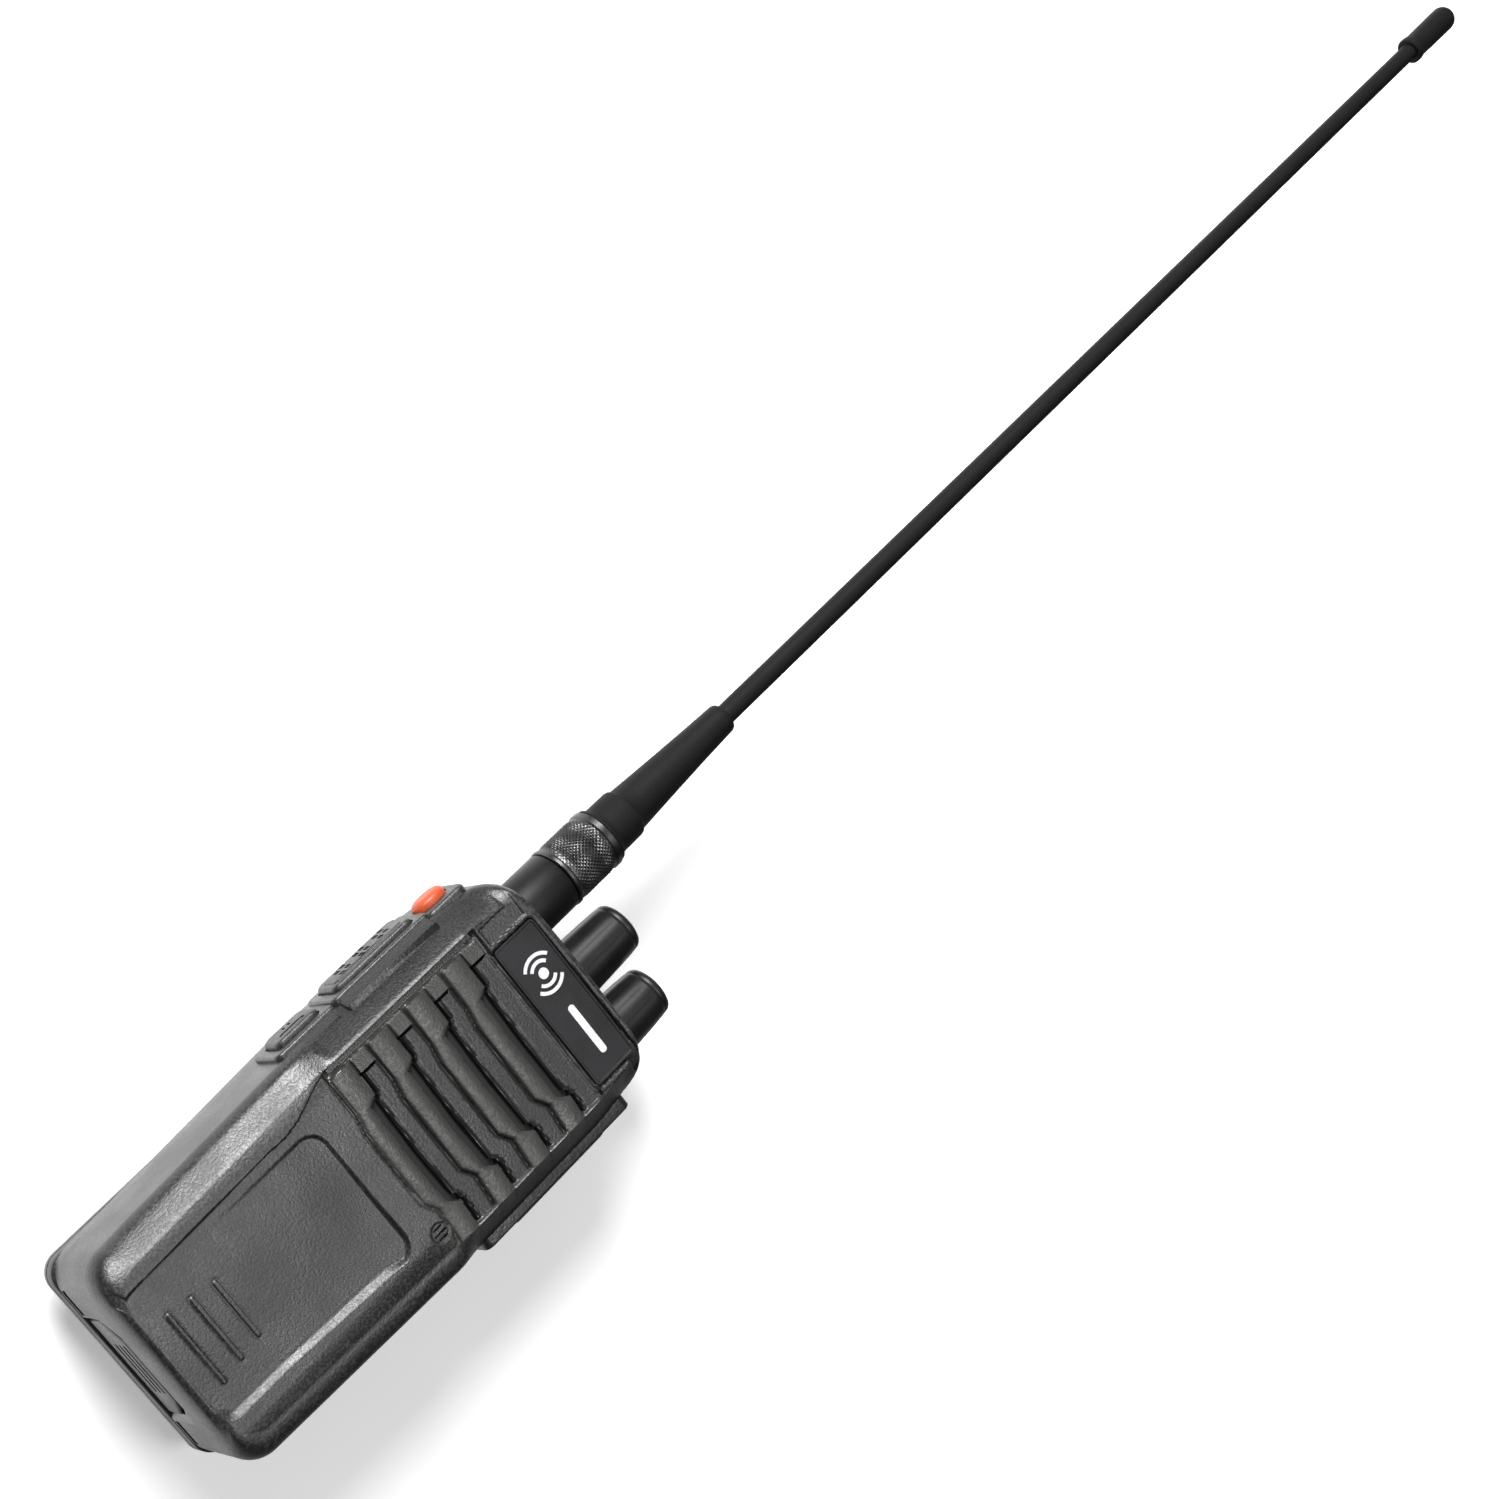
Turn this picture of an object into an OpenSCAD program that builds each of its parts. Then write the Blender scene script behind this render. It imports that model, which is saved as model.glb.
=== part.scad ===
// Handheld two-way radio with a long whip antenna, standing on its base.
// Frame: millimetres, +Z up along the antenna, front face towards -Y, push-to-talk side at -X.
// The modules are drawn with y = 0 at the foremost face, and placed() moves them to the origin.

/* [Housing] */
// Height of the housing from the base to the top deck
body_h = 128; // [120:1:136]
// Half the width of the housing at the base
base_hw = 28.5; // [27:0.5:30]
// Half the width of the housing from the waist up
waist_hw = 31; // [30:0.5:32]
// Height of the waist, where the housing reaches its full width
waist_z = 70; // [66:1:74]
// Depth of the front shell
shell_d = 28; // [27:0.5:29]
// Thickness of the shell walls
wall = 2.2; // [1.8:0.1:2.4]
// Depth from the front face to the back of the belt clip
total_d = 43; // [43:0.5:45]
// Half the width over the side buttons and the side rail
side_hw = 34.5; // [34:0.25:35]

/* [Front face] */
// Height of the lowest grille slot above the base
grille_z = 69; // [68:0.5:70]
// Distance from one grille slot to the next
grille_pitch = 11.6; // [11:0.1:12]
// Number of grille slots
grille_rows = 4; // [3:1:4]
// Height of one grille slot
slot_h = 1.5; // [1:0.1:2]
// Depth of the grille slats and of the lower panel below the front face
panel_sink = 0.8; // [0.4:0.1:1]

/* [Controls] */
// Distance of the antenna and knob axes behind the front face
axis_y = 16; // [15:0.5:17]
// Position of the antenna axis across the top deck
antenna_x = -15; // [-16:0.5:-14]
// Position of the volume knob across the top deck
volume_x = 3.7; // [3:0.1:4]
// Position of the channel knob across the top deck
channel_x = 19.8; // [19:0.1:20]
// Radius of both knobs at the skirt
knob_r = 7.3; // [6.5:0.1:7.5]
// Height of the volume knob
volume_knob_h = 19.5; // [17:0.5:20]
// Height of the channel knob
channel_knob_h = 15.5; // [14:0.5:17]
// Radius of the two control shafts
shaft_r = 3; // [2.5:0.1:3]
// Travel of the push-to-talk button and the two keys
key_travel = 1; // [0.6:0.1:1]

/* [Antenna] */
// Height of the antenna tip above the base
tip_z = 535; // [400:5:560]
// Radius of the antenna base and its knurled ring
ring_r = 7.9; // [7:0.1:8]
// Radius of the rubber boot above the ring
boot_r = 6.5; // [5.5:0.1:7]
// Radius of the whip where it leaves the boot
whip_low_r = 2.65; // [2.2:0.05:3]
// Radius of the whip at the tip cap
whip_top_r = 2.4; // [1.8:0.05:2.6]
// Radius of the antenna socket's thread
socket_r = 3.1; // [3:0.05:3.2]

/* [Battery and clip] */
// Height of the battery pack
battery_h = 96; // [92:1:97]
// Depth from the front face to the back of the battery
battery_back_y = 35; // [34.5:0.5:35]
// Half the width of the belt clip
clip_hw = 10; // [9:0.5:11]

/* [Hidden] */
$fn = 48;
gap = 0.3;
fit_gap = 0.05;
corner_r = 7;
top_hw = 29;
crown_drop = 0.8;
deck_z = body_h;
deck_under_z = deck_z - wall;

// Front shell: [depth, inset of the sides, inset of the base, inset of the top] of each section
skin_sections = [[0, 6.2, 2.5, 1], [0.7, 4.2, 1.6, 0.5], [2, 2.4, 0.9, 0.2], [4.5, 0.8, 0.3, 0],
                 [8, 0, 0, 0], [shell_d, 0, 0, 0]];
cavity_sections = [[wall, 7.2, 5, 3.4], [6, 3.6, 2.8, 2.5], [10, wall, wall, wall],
                   [shell_d + 1, wall, wall, wall]];

// Side banks
bank_y0 = 7.5;
bank_y1 = 22.5;
bank_hw = side_hw - 1.7;
ptt_z0 = 82;
ptt_z1 = 106.5;
ptt_mid_z = (ptt_z0 + ptt_z1) / 2;
monitor_z0 = 64.5;
monitor_z1 = 77;
alarm_z = 113.8;
alarm_half_h = 4.6;
alarm_half_w = 3.4;
alarm_y = 14.5;
key_y0 = 9.5;
key_y1 = 20.5;
key_inner_x = waist_hw - 1.7;
rail_z0 = 71;
rail_z1 = 119;
cover_z0 = 80;
cover_z1 = 111;
cover_back_y = 20.1;
cover_front_y = 9.6;
cover_hinge_y = 21.4;
cover_hinge_x = side_hw - 1.1;
cover_pin_r = 0.5;
knuckle_r = 0.95;
knuckle_h = 3.4;
jack_y = 14;
mic_jack_z = 89;
speaker_jack_z = 101;
mic_jack_r = 1.3;
speaker_jack_r = 1.8;

// Inner build
board_y = 11.5;
board_t = 1.6;
board_hw = 25;
board_z0 = 8;
board_z1 = 104;
chassis_y = 17.2;
chassis_t = 1.8;
chassis_top_z = 99;
upper_back_y = shell_d;
boss_r = 2.6;
screw_r = 1;
boss_at = [[-22, 14], [22, 14], [-22, 50], [22, 50]];
speaker_z = grille_z + 1.5 * grille_pitch + 2;
speaker_r = 18;
mic_x = 19.6;
mic_z = 63;

// Antenna stack
washer_z = deck_z + 0.1;
washer_t = 0.8;
base_z = washer_z + washer_t;
ring_z = 142;
boot_z = 157;
cone_z = 166.5;
whip_z = 202;
cap_h = 22;
socket_top_z = deck_z + 8;
pin_r = 0.6;

// Knobs
knob_gap = 0.5;
knob_skirt_h = 3;
bush_r = 4.2;
bush_top_z = deck_z + 3;
nut_r = 5.2;
nut_h = 1.6;
knob_hollow_r = 5.9;
knob_hollow_h = 4.2;
knob_flutes = 18;
led_x = (antenna_x + volume_x) / 2;
led_y = axis_y - 7.5;
led_r = 1.2;

// Battery
pack_y = 19.4;
pack_hw = 26;
pack_z0 = 6;
battery_hw = 28.2;
battery_seam_y = shell_d + gap;
lid_y = 31.8;
swing_y = 30;
swing_z = battery_h - 1;
swing_r = 1.2;
latch_hw = 13.5;
latch_y0 = 15.5;
latch_travel = 1.8;
clip_axis_y = 38;
clip_axis_z = 109;
clip_pin_r = 1.2;
clip_in_y = 40;

// ---- shared shapes ----

// Moves the drawing frame, with y = 0 at the front face, to the part's frame
module placed() {
    translate([0, -total_d / 2, 0]) children();
}

// A box given by its lowest and highest corners
module span(low, high) {
    translate(low) cube(high - low);
}

// A flat outline in x and z, given thickness from y0 to y1
module slab(y0, y1) {
    translate([0, y1, 0]) rotate([90, 0, 0]) linear_extrude(y1 - y0) children();
}

// A box in x and z with rounded corners, given thickness along y
module round_slab(x0, x1, z0, z1, r, y0, y1) {
    slab(y0, y1) rounded_rect(x0, x1, z0, z1, r);
}

module rounded_rect(x0, x1, z0, z1, r) {
    translate([x0 + r, z0]) square([x1 - x0 - 2 * r, z1 - z0]);
    translate([x0, z0 + r]) square([x1 - x0, z1 - z0 - 2 * r]);
    for (x = [x0 + r, x1 - r], z = [z0 + r, z1 - r]) translate([x, z]) circle(r);
}

// A box in y and z with rounded corners, given thickness along x
module side_slab(y0, y1, z0, z1, r, x0, x1) {
    translate([x0, 0, 0]) rotate([90, 0, 90]) linear_extrude(x1 - x0) rounded_rect(y0, y1, z0, z1, r);
}

module rod_z(x, y, r, z0, z1) {
    translate([x, y, z0]) cylinder(r = r, h = z1 - z0);
}

module rod_y(x, z, r, y0, y1) {
    translate([x, y0, z]) rotate([-90, 0, 0]) cylinder(r = r, h = y1 - y0);
}

module rod_x(y, z, r, x0, x1) {
    translate([x0, y, z]) rotate([0, 90, 0]) cylinder(r = r, h = x1 - x0);
}

// Points along an arc about (cx, cz), from angle a0 to a1
function arc(cx, cz, r, a0, a1, steps) =
    [for (i = [0:steps]) let (a = a0 + (a1 - a0) * i / steps) [cx + r * cos(a), cz + r * sin(a)]];

// Right half of the housing's outline at a section, from the base up
function half_outline(s) = concat(
    arc(base_hw - s[1] - corner_r, s[2] + corner_r, corner_r, -90, -2, 8),
    arc(waist_hw - s[1] - corner_r, waist_z, corner_r, -2, 0, 1),
    arc(waist_hw - s[1] - corner_r, body_h - 16, corner_r, 0, 12, 2),
    arc(top_hw - s[1] - corner_r, body_h - crown_drop - s[3] - corner_r, corner_r, 12, 84, 8),
    [[3, body_h - s[3]]]);

function mirrored(points) = [for (i = [len(points) - 1:-1:0]) [-points[i][0], points[i][1]]];

function outline_ring(s) = let (half = half_outline(s))
    [for (p = concat(half, mirrored(half))) [p[0], s[0], p[1]]];

// A closed solid through the housing's outlines at each section
module housing_solid(sections) {
    rings = [for (s = sections) outline_ring(s)];
    n = len(rings[0]);
    last = len(sections) - 1;
    sides = [for (k = [0:last - 1], i = [0:n - 1]) let (j = (i + 1) % n)
             each [[k * n + i, k * n + j, (k + 1) * n + j],
                   [k * n + i, (k + 1) * n + j, (k + 1) * n + i]]];
    ends = [[for (i = [n - 1:-1:0]) i], [for (i = [0:n - 1]) last * n + i]];
    polyhedron([for (r = rings) each r], concat(sides, ends));
}

// ---- front shell ----

slot_left_x = -18;
slot_right_x = 24;
jog_h = 2.4;
jog_left_x = -12.2;
jog_right_x = 17;
jog_w = 1.7;

// The path of one grille slot: high at both ends and lower between the two jogs
function slot_path(z) = [[slot_left_x, z + jog_h], [jog_left_x - jog_w / 2, z + jog_h],
                         [jog_left_x + jog_w / 2, z], [jog_right_x - jog_w / 2, z],
                         [jog_right_x + jog_w / 2, z + jog_h], [slot_right_x, z + jog_h]];

// A band between the slot's path shifted by two heights
module slot_band(z, low, high) {
    path = slot_path(z);
    last = len(path) - 1;
    polygon(concat([for (p = path) [p[0], p[1] + low]],
                   [for (i = [last:-1:0]) [path[i][0], path[i][1] + high]]));
}

module grille_cuts() {
    for (row = [0:grille_rows - 1]) {
        z = grille_z + row * grille_pitch;
        slab(-1, wall + 1) slot_band(z, 0, slot_h);
        slab(-1, panel_sink) slot_band(z, slot_h, grille_pitch - 4.2);
        span([slot_left_x - 5, -1, z + 2], [slot_left_x, panel_sink / 2, z + 7.5]);
    }
}

module lower_panel_cuts() {
    round_slab(-19.4, 17.4, 2.6, 56.8, 5, -1, panel_sink * 0.6);
    round_slab(-18, 18.5, 22, 56.8, 5, -1, panel_sink);
    for (i = [0:2])
        round_slab(-10.3 + i, 9.3 - i, 7.3 + 5.8 * i, 8.3 + 5.8 * i, 0.45, -1, panel_sink + 0.5);
}

label_x0 = -17;
label_x1 = 22.3;
label_z0 = 112.6;
label_z1 = 125.2;

module side_bank() {
    side_slab(bank_y0, bank_y1, ptt_z0 - 3, ptt_z1 + 3, 3, -bank_hw, -waist_hw + wall);
    side_slab(bank_y0, bank_y1, monitor_z0 - 3, ptt_z0 - 1, 3, -bank_hw + 0.8, -waist_hw + wall);
    side_slab(bank_y0, bank_y1, ptt_z1, alarm_z + alarm_half_h + 2, 3, -bank_hw + 1, -waist_hw + wall);
}

module side_rail() {
    side_slab(bank_y0, cover_back_y, rail_z0, rail_z1, 3, waist_hw - wall, side_hw - 1.2);
}

// The two knuckles that hold the ends of the jack cover's hinge pin
module cover_knuckles() {
    y1 = cover_hinge_y + 0.8;
    for (z = [cover_z0 + 0.2, cover_z1 - 0.2 - knuckle_h]) difference() {
        union() {
            rod_z(cover_hinge_x, cover_hinge_y, knuckle_r, z, z + knuckle_h);
            span([waist_hw - 1, cover_back_y - 1, z], [cover_hinge_x - 0.3, y1, z + knuckle_h]);
            span([waist_hw - 1, cover_hinge_y - 0.8, z], [cover_hinge_x, y1, z + knuckle_h]);
        }
        rod_z(cover_hinge_x, cover_hinge_y, cover_pin_r, z - 1, z + knuckle_h + 1);
    }
}

// Openings for the three keys, a fit larger than each
module key_openings(grow) {
    side_slab(key_y0 - grow, key_y1 + grow, ptt_z0 - grow, ptt_z1 + grow, 2,
              -side_hw - 1, -key_inner_x + 2);
    side_slab(key_y0 + 1 - grow, key_y1 - 1 + grow, monitor_z0 - grow, monitor_z1 + grow, 2,
              -side_hw - 1, -key_inner_x + 2);
    side_slab(alarm_y - alarm_half_w - grow, alarm_y + alarm_half_w + grow, alarm_z - alarm_half_h - grow,
              alarm_z + alarm_half_h + grow, alarm_half_w, -side_hw - 1, -key_inner_x + 2);
}

module front_shell() {
    color("#2c2d2f") placed() difference() {
        union() {
            difference() {
                union() {
                    housing_solid(skin_sections);
                    side_bank();
                    side_rail();
                }
                housing_solid(cavity_sections);
            }
            for (b = boss_at) rod_y(b[0], b[1], boss_r, wall - 0.5, board_y);
            cover_knuckles();
        }
        grille_cuts();
        lower_panel_cuts();
        round_slab(label_x0 - 0.4, label_x1 + 0.4, label_z0 - 0.4, label_z1 + 0.4, 1.2, -1, 1.3);
        span([label_x0 - 6.4, -1, label_z0 + 0.6], [label_x0 - 1.6, 0.5, label_z1 - 0.6]);
        for (i = [-2:2])
            round_slab(mic_x + 0.9 * i - 0.22, mic_x + 0.9 * i + 0.22, mic_z - 1.8 + abs(i) * 0.45,
                       mic_z + 1.8 - abs(i) * 0.45, 0.2, -1, wall + 1);
        for (b = boss_at) rod_y(b[0], b[1], screw_r + fit_gap, board_y - 6, board_y + 1);
        key_openings(gap);
        rod_x(jack_y, mic_jack_z, 2.6, waist_hw - wall - 1, side_hw);
        rod_x(jack_y, speaker_jack_z, 3.4, waist_hw - wall - 1, side_hw);
        rod_z(antenna_x, axis_y, 4.2 + fit_gap, deck_under_z - 1, deck_z + 1);
        for (x = [volume_x, channel_x]) rod_z(x, axis_y, bush_r + fit_gap, deck_under_z - 5, deck_z + 1);
        rod_z(led_x, led_y, led_r + fit_gap, deck_under_z - 1, deck_z + 1);
        latch_notch();
    }
}

module latch_outline(grow) {
    polygon([[-latch_hw - grow, shell_d + 1], [-latch_hw - grow, latch_y0 + 5 - grow],
             [-latch_hw + 4.6 - grow, latch_y0 - grow], [latch_hw - 4.6 + grow, latch_y0 - grow],
             [latch_hw + grow, latch_y0 + 5 - grow], [latch_hw + grow, shell_d + 1]]);
}

module latch_notch() {
    translate([0, 0, -1]) linear_extrude(wall + 2) {
        latch_outline(gap);
        translate([0, -latch_travel]) latch_outline(gap);
    }
}

module label_plate() {
    color("#111214") placed() difference() {
        round_slab(label_x0, label_x1, label_z0, label_z1, 1, 0.5, 1.3);
        round_slab(label_x0 + 0.8, label_x1 - 0.8, label_z0 + 0.8, label_z1 - 0.8, 0.6, 0, 0.65);
    }
}

module led_lens() {
    color("#d8efe0") placed() rod_z(led_x, led_y, led_r, deck_under_z - 1.5, deck_z + 0.3);
}

// ---- sound ----

module grille_cloth() {
    color("#0c0c0d") placed()
        round_slab(-21, 21, speaker_z - 21.5, speaker_z + 21, 3, wall + 0.05, wall + 0.35);
}

module speaker_frame() {
    color("#8d9094") placed() difference() {
        union() {
            rod_y(0, speaker_z, speaker_r, 2.6, 4);
            translate([0, 4, speaker_z]) rotate([-90, 0, 0]) cylinder(r1 = speaker_r - 1, r2 = 9, h = 3);
        }
        translate([0, 2.5, speaker_z]) rotate([-90, 0, 0]) cylinder(r1 = speaker_r - 2, r2 = 7.6, h = 5);
    }
}

module speaker_cone() {
    color("#1b1b1c") placed() difference() {
        translate([0, 3, speaker_z]) rotate([-90, 0, 0]) cylinder(r1 = speaker_r - 3, r2 = 7.4, h = 4);
        translate([0, 2.4, speaker_z]) rotate([-90, 0, 0]) cylinder(r1 = speaker_r - 3, r2 = 6.6, h = 4);
    }
}

module speaker_magnet() {
    color("#55585c") placed() rod_y(0, speaker_z, 9, 7, 10.8);
}

module mic_boot() {
    color("#161617") placed() difference() {
        rod_y(mic_x, mic_z, 3.6, wall + 0.6, 6.5);
        rod_y(mic_x, mic_z, 3, wall, 5.6);
    }
}

module microphone() {
    color("#b9bcc0") placed() rod_y(mic_x, mic_z, 3, 3.4, 5.6);
}

// ---- electronics ----

module main_board() {
    color("#1f5a38") placed() difference() {
        round_slab(-board_hw, board_hw, board_z0, board_z1, 1.5, board_y, board_y + board_t);
        for (b = boss_at) rod_y(b[0], b[1], screw_r + 0.1, board_y - 1, board_y + board_t + 1);
        span([18.2, board_y - 1, mic_jack_z - 3.7], [board_hw + 1, board_y + board_t + 1, board_z1 + 1]);
    }
}

module rf_shields() {
    color("#b4b7ba") placed() {
        span([-18, board_y + board_t, 24], [2, board_y + board_t + 2.6, 48]);
        span([5, board_y + board_t, 24], [18, board_y + board_t + 2.6, 44]);
        span([-18, board_y + board_t, 66], [14, board_y + board_t + 2.6, 92]);
    }
}

module antenna_socket() {
    color("#c9a24a") placed() difference() {
        union() {
            rod_z(antenna_x, axis_y, socket_r, deck_z - 8, socket_top_z);
            rod_z(antenna_x, axis_y, 4.2, deck_z - 7, deck_z);
            span([antenna_x - 4, axis_y - 4, deck_z - 10], [antenna_x + 4, axis_y + 4, deck_z - 6]);
        }
        rod_z(antenna_x, axis_y, 2.3, deck_z - 2, socket_top_z + 1);
    }
}

module socket_nut() {
    color("#b8bbbf") placed() translate([antenna_x, axis_y, deck_under_z - 2.6]) difference() {
        cylinder(r = 5.4, h = 1.6, $fn = 6);
        translate([0, 0, -1]) cylinder(r = 4.2, h = 4);
    }
}

// A rotary control under the deck, with its threaded bush through the deck
module rotary_control(x) {
    difference() {
        union() {
            span([x - 4.6, axis_y - 5.8, deck_under_z - 12], [x + 4.6, axis_y + 5.8, deck_under_z - 3]);
            rod_z(x, axis_y, bush_r, deck_under_z - 4, bush_top_z);
        }
        rod_z(x, axis_y, shaft_r + fit_gap, deck_under_z - 6, bush_top_z + 1);
    }
}

module volume_pot() {
    color("#8f9296") placed() rotary_control(volume_x);
}

module channel_switch() {
    color("#8f9296") placed() rotary_control(channel_x);
}

module control_nuts() {
    color("#b8bbbf") placed() for (x = [volume_x, channel_x]) translate([x, axis_y, deck_z]) difference() {
        cylinder(r = nut_r, h = nut_h, $fn = 6);
        translate([0, 0, -1]) cylinder(r = bush_r, h = nut_h + 2);
    }
}

module side_keypad() {
    color("#202022") placed() side_slab(10, 21, monitor_z0 - 1, alarm_z + 1.2, 1.5, -28, -27.2);
}

module side_switches() {
    color("#d9d9d4") placed() {
        side_slab(9.5, 16.1, monitor_z0, alarm_z + 3, 1, -25.8, -25.2);
        for (z = [(monitor_z0 + monitor_z1) / 2, ptt_mid_z, alarm_z])
            span([-27.2, 12.1, z - 2.3], [-25.8, 16.1, z + 2.3]);
    }
}

module audio_jacks() {
    color("#19191b") placed() difference() {
        union() {
            span([18.5, jack_y - 3.4, mic_jack_z - 3.4],
                 [waist_hw - wall - 0.1, chassis_y - 1, speaker_jack_z + 3.4]);
            rod_x(jack_y, mic_jack_z, 2.5, waist_hw - wall - 0.1, side_hw - 1.6);
            rod_x(jack_y, speaker_jack_z, 3.3, waist_hw - wall - 0.1, side_hw - 1.6);
        }
        rod_x(jack_y, mic_jack_z, mic_jack_r, 20.5, side_hw);
        rod_x(jack_y, speaker_jack_z, speaker_jack_r, 20.5, side_hw);
    }
}

// ---- chassis ----

module chassis() {
    color("#7d8083") placed() difference() {
        union() {
            round_slab(-26.2, 26.2, 5.2, chassis_top_z, 6, chassis_y, chassis_y + chassis_t);
            span([-26.2, chassis_y, chassis_top_z - 2], [26.2, upper_back_y + 1, chassis_top_z]);
            round_slab(-28, 28, chassis_top_z - 1.6, body_h - 2.5, 3, upper_back_y, upper_back_y + 3.4);
            for (x = [-24:4:24]) if (abs(x) > clip_hw + 2)
                span([x - 0.8, upper_back_y + 3.3, chassis_top_z + 2],
                     [x + 0.8, battery_back_y, body_h - 6]);
        }
        for (b = boss_at) {
            rod_y(b[0], b[1], screw_r + 0.1, chassis_y - 1, chassis_y + chassis_t + 1);
            rod_y(b[0], b[1], 2.1, chassis_y + chassis_t - 0.6, chassis_y + chassis_t + 1);
        }
        for (x = [-5.5, 5.5]) rod_y(x, 119, screw_r + 0.1, upper_back_y - 1, upper_back_y + 5);
        for (x = [-6, 0, 6]) rod_y(x, 20, 1.3, chassis_y - 1, chassis_y + chassis_t + 1);
    }
}

module chassis_gasket() {
    color("#171718") placed() difference() {
        round_slab(-26, 26, 5.4, 96.5, 6, chassis_y - 0.8, chassis_y);
        round_slab(-25, 25, 6.4, 95.5, 5, chassis_y - 2, chassis_y + 1);
    }
}

module chassis_screws() {
    color("#c2c4c6") placed() for (b = boss_at) difference() {
        union() {
            rod_y(b[0], b[1], screw_r, board_y - 5, chassis_y + chassis_t - 0.5);
            rod_y(b[0], b[1], 1.9, chassis_y + chassis_t - 0.6, chassis_y + chassis_t);
        }
        span([b[0] - 1.2, chassis_y + chassis_t - 0.3, b[1] - 0.2], [b[0] + 1.2, pack_y, b[1] + 0.2]);
        span([b[0] - 0.2, chassis_y + chassis_t - 0.3, b[1] - 1.2], [b[0] + 0.2, pack_y, b[1] + 1.2]);
    }
}

module battery_springs() {
    color("#d7b45a") placed() for (x = [-6, 0, 6]) {
        rod_y(x, 20, 0.9, board_y + board_t, pack_y - 0.35);
    }
}

// ---- belt clip ----

module clip_bracket() {
    color("#1a1a1c") placed() difference() {
        union() {
            round_slab(-clip_hw, clip_hw, 103.5, 124, 2, upper_back_y + 3.4, upper_back_y + 5.4);
            for (x = [-clip_hw + 2.6, clip_hw - 4.6])
                side_slab(upper_back_y + 5.3, clip_axis_y + 2.1, clip_axis_z - 2.4, clip_axis_z + 2.4, 1.9,
                          x, x + 2);
        }
        rod_x(clip_axis_y, clip_axis_z, clip_pin_r, -clip_hw - 1, clip_hw + 1);
        for (x = [-5.5, 5.5]) rod_y(x, 119, screw_r + 0.1, upper_back_y, upper_back_y + 7);
    }
}

module clip_screws() {
    color("#c2c4c6") placed() for (x = [-5.5, 5.5]) difference() {
        union() {
            rod_y(x, 119, screw_r, upper_back_y - 0.5, upper_back_y + 5.5);
            rod_y(x, 119, 1.9, upper_back_y + 5.4, upper_back_y + 6.4);
        }
        span([x - 1.2, upper_back_y + 6, 118.8], [x + 1.2, upper_back_y + 7, 119.2]);
        span([x - 0.2, upper_back_y + 6, 117.8], [x + 0.2, upper_back_y + 7, 120.2]);
    }
}

module clip_pin() {
    color("#c9cbcd") placed() rod_x(clip_axis_y, clip_axis_z, clip_pin_r, -clip_hw + 0.4, clip_hw - 0.4);
}

module clip_spring() {
    color("#b5b8bb") placed() {
        for (x = [-4.6:1.02:4.4]) translate([x, clip_axis_y, clip_axis_z]) rotate([0, 90, 0]) difference() {
            cylinder(r = 1.9, h = 0.95);
            translate([0, 0, -1]) cylinder(r = clip_pin_r, h = 3);
        }
        span([-4.6, upper_back_y + 5.4, clip_axis_z - 8], [-3.7, upper_back_y + 6.2, clip_axis_z]);
        span([-4.6, upper_back_y + 5.4, clip_axis_z - 1.5], [-3.7, clip_axis_y - 1.3, clip_axis_z - 0.7]);
    }
}

module clip_lever() {
    color("#1a1a1c") placed() difference() {
        union() {
            round_slab(-clip_hw, clip_hw, 44, 121, 4, clip_in_y + 0.6, total_d - 0.6);
            round_slab(-clip_hw + 2, clip_hw - 2, 48, 102, 3, clip_in_y + 0.6, total_d);
            round_slab(-clip_hw, clip_hw, 44, 49, 2, clip_in_y, total_d - 0.6);
            for (z = [108:3:117]) span([-clip_hw + 3, total_d - 0.7, z], [clip_hw - 3, total_d, z + 1.2]);
            for (x = [-clip_hw, clip_hw - 2.2])
                side_slab(clip_axis_y - 2, clip_in_y + 1.6, clip_axis_z - 2, clip_axis_z + 2, 1.9,
                          x, x + 2.2);
        }
        rod_x(clip_axis_y, clip_axis_z, clip_pin_r + fit_gap, -clip_hw - 1, clip_hw + 1);
        rod_x(clip_axis_y, clip_axis_z, 2.8, -clip_hw + 2.25, clip_hw - 2.25);
    }
}

// ---- battery ----

module battery_case() {
    color("#232426") placed() difference() {
        union() {
            round_slab(-pack_hw, pack_hw, pack_z0, battery_h - 2, 3, pack_y, battery_seam_y + 1);
            round_slab(-battery_hw, battery_hw, 0, battery_h, 5, battery_seam_y, lid_y);
            rod_x(swing_y, swing_z, swing_r, -20, 20);
        }
        round_slab(-pack_hw + 1.5, pack_hw - 1.5, pack_z0 + 1.5, battery_h - 4, 2, pack_y + 1.5, lid_y + 1);
        for (x = [-6, 0, 6]) rod_y(x, 20, 2, pack_y - 1, pack_y + 2);
    }
}

module battery_lid() {
    color("#232426") placed() difference() {
        union() {
            round_slab(-battery_hw, battery_hw, 0, battery_h, 5, lid_y, battery_back_y - 1);
            round_slab(-battery_hw + 1.4, battery_hw - 1.4, 1.4, battery_h - 1.4, 4, lid_y, battery_back_y);
        }
        for (x = [-9, 9]) rod_y(x, 14, 2.5, battery_back_y - 0.6, battery_back_y + 1);
        for (z = [60:4:80]) round_slab(-14, 14, z, z + 1.2, 0.5, battery_back_y - 0.5, battery_back_y + 1);
    }
}

module battery_cells() {
    color("#5d8fb8") placed() for (z = [10, 51]) {
        round_slab(-22.5, 22.5, z, z + 38, 3, pack_y + 2.4, lid_y - 0.3);
    }
}

module battery_board() {
    color("#1f5a38") placed() span([-20, pack_y + 2.4, battery_h - 6.6], [20, lid_y - 2, battery_h - 5.4]);
}

module battery_terminals() {
    color("#d7b45a") placed() for (x = [-6, 0, 6]) {
        rod_y(x, 20, 1.9, pack_y + 0.1, pack_y + 1.5);
    }
}

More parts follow.
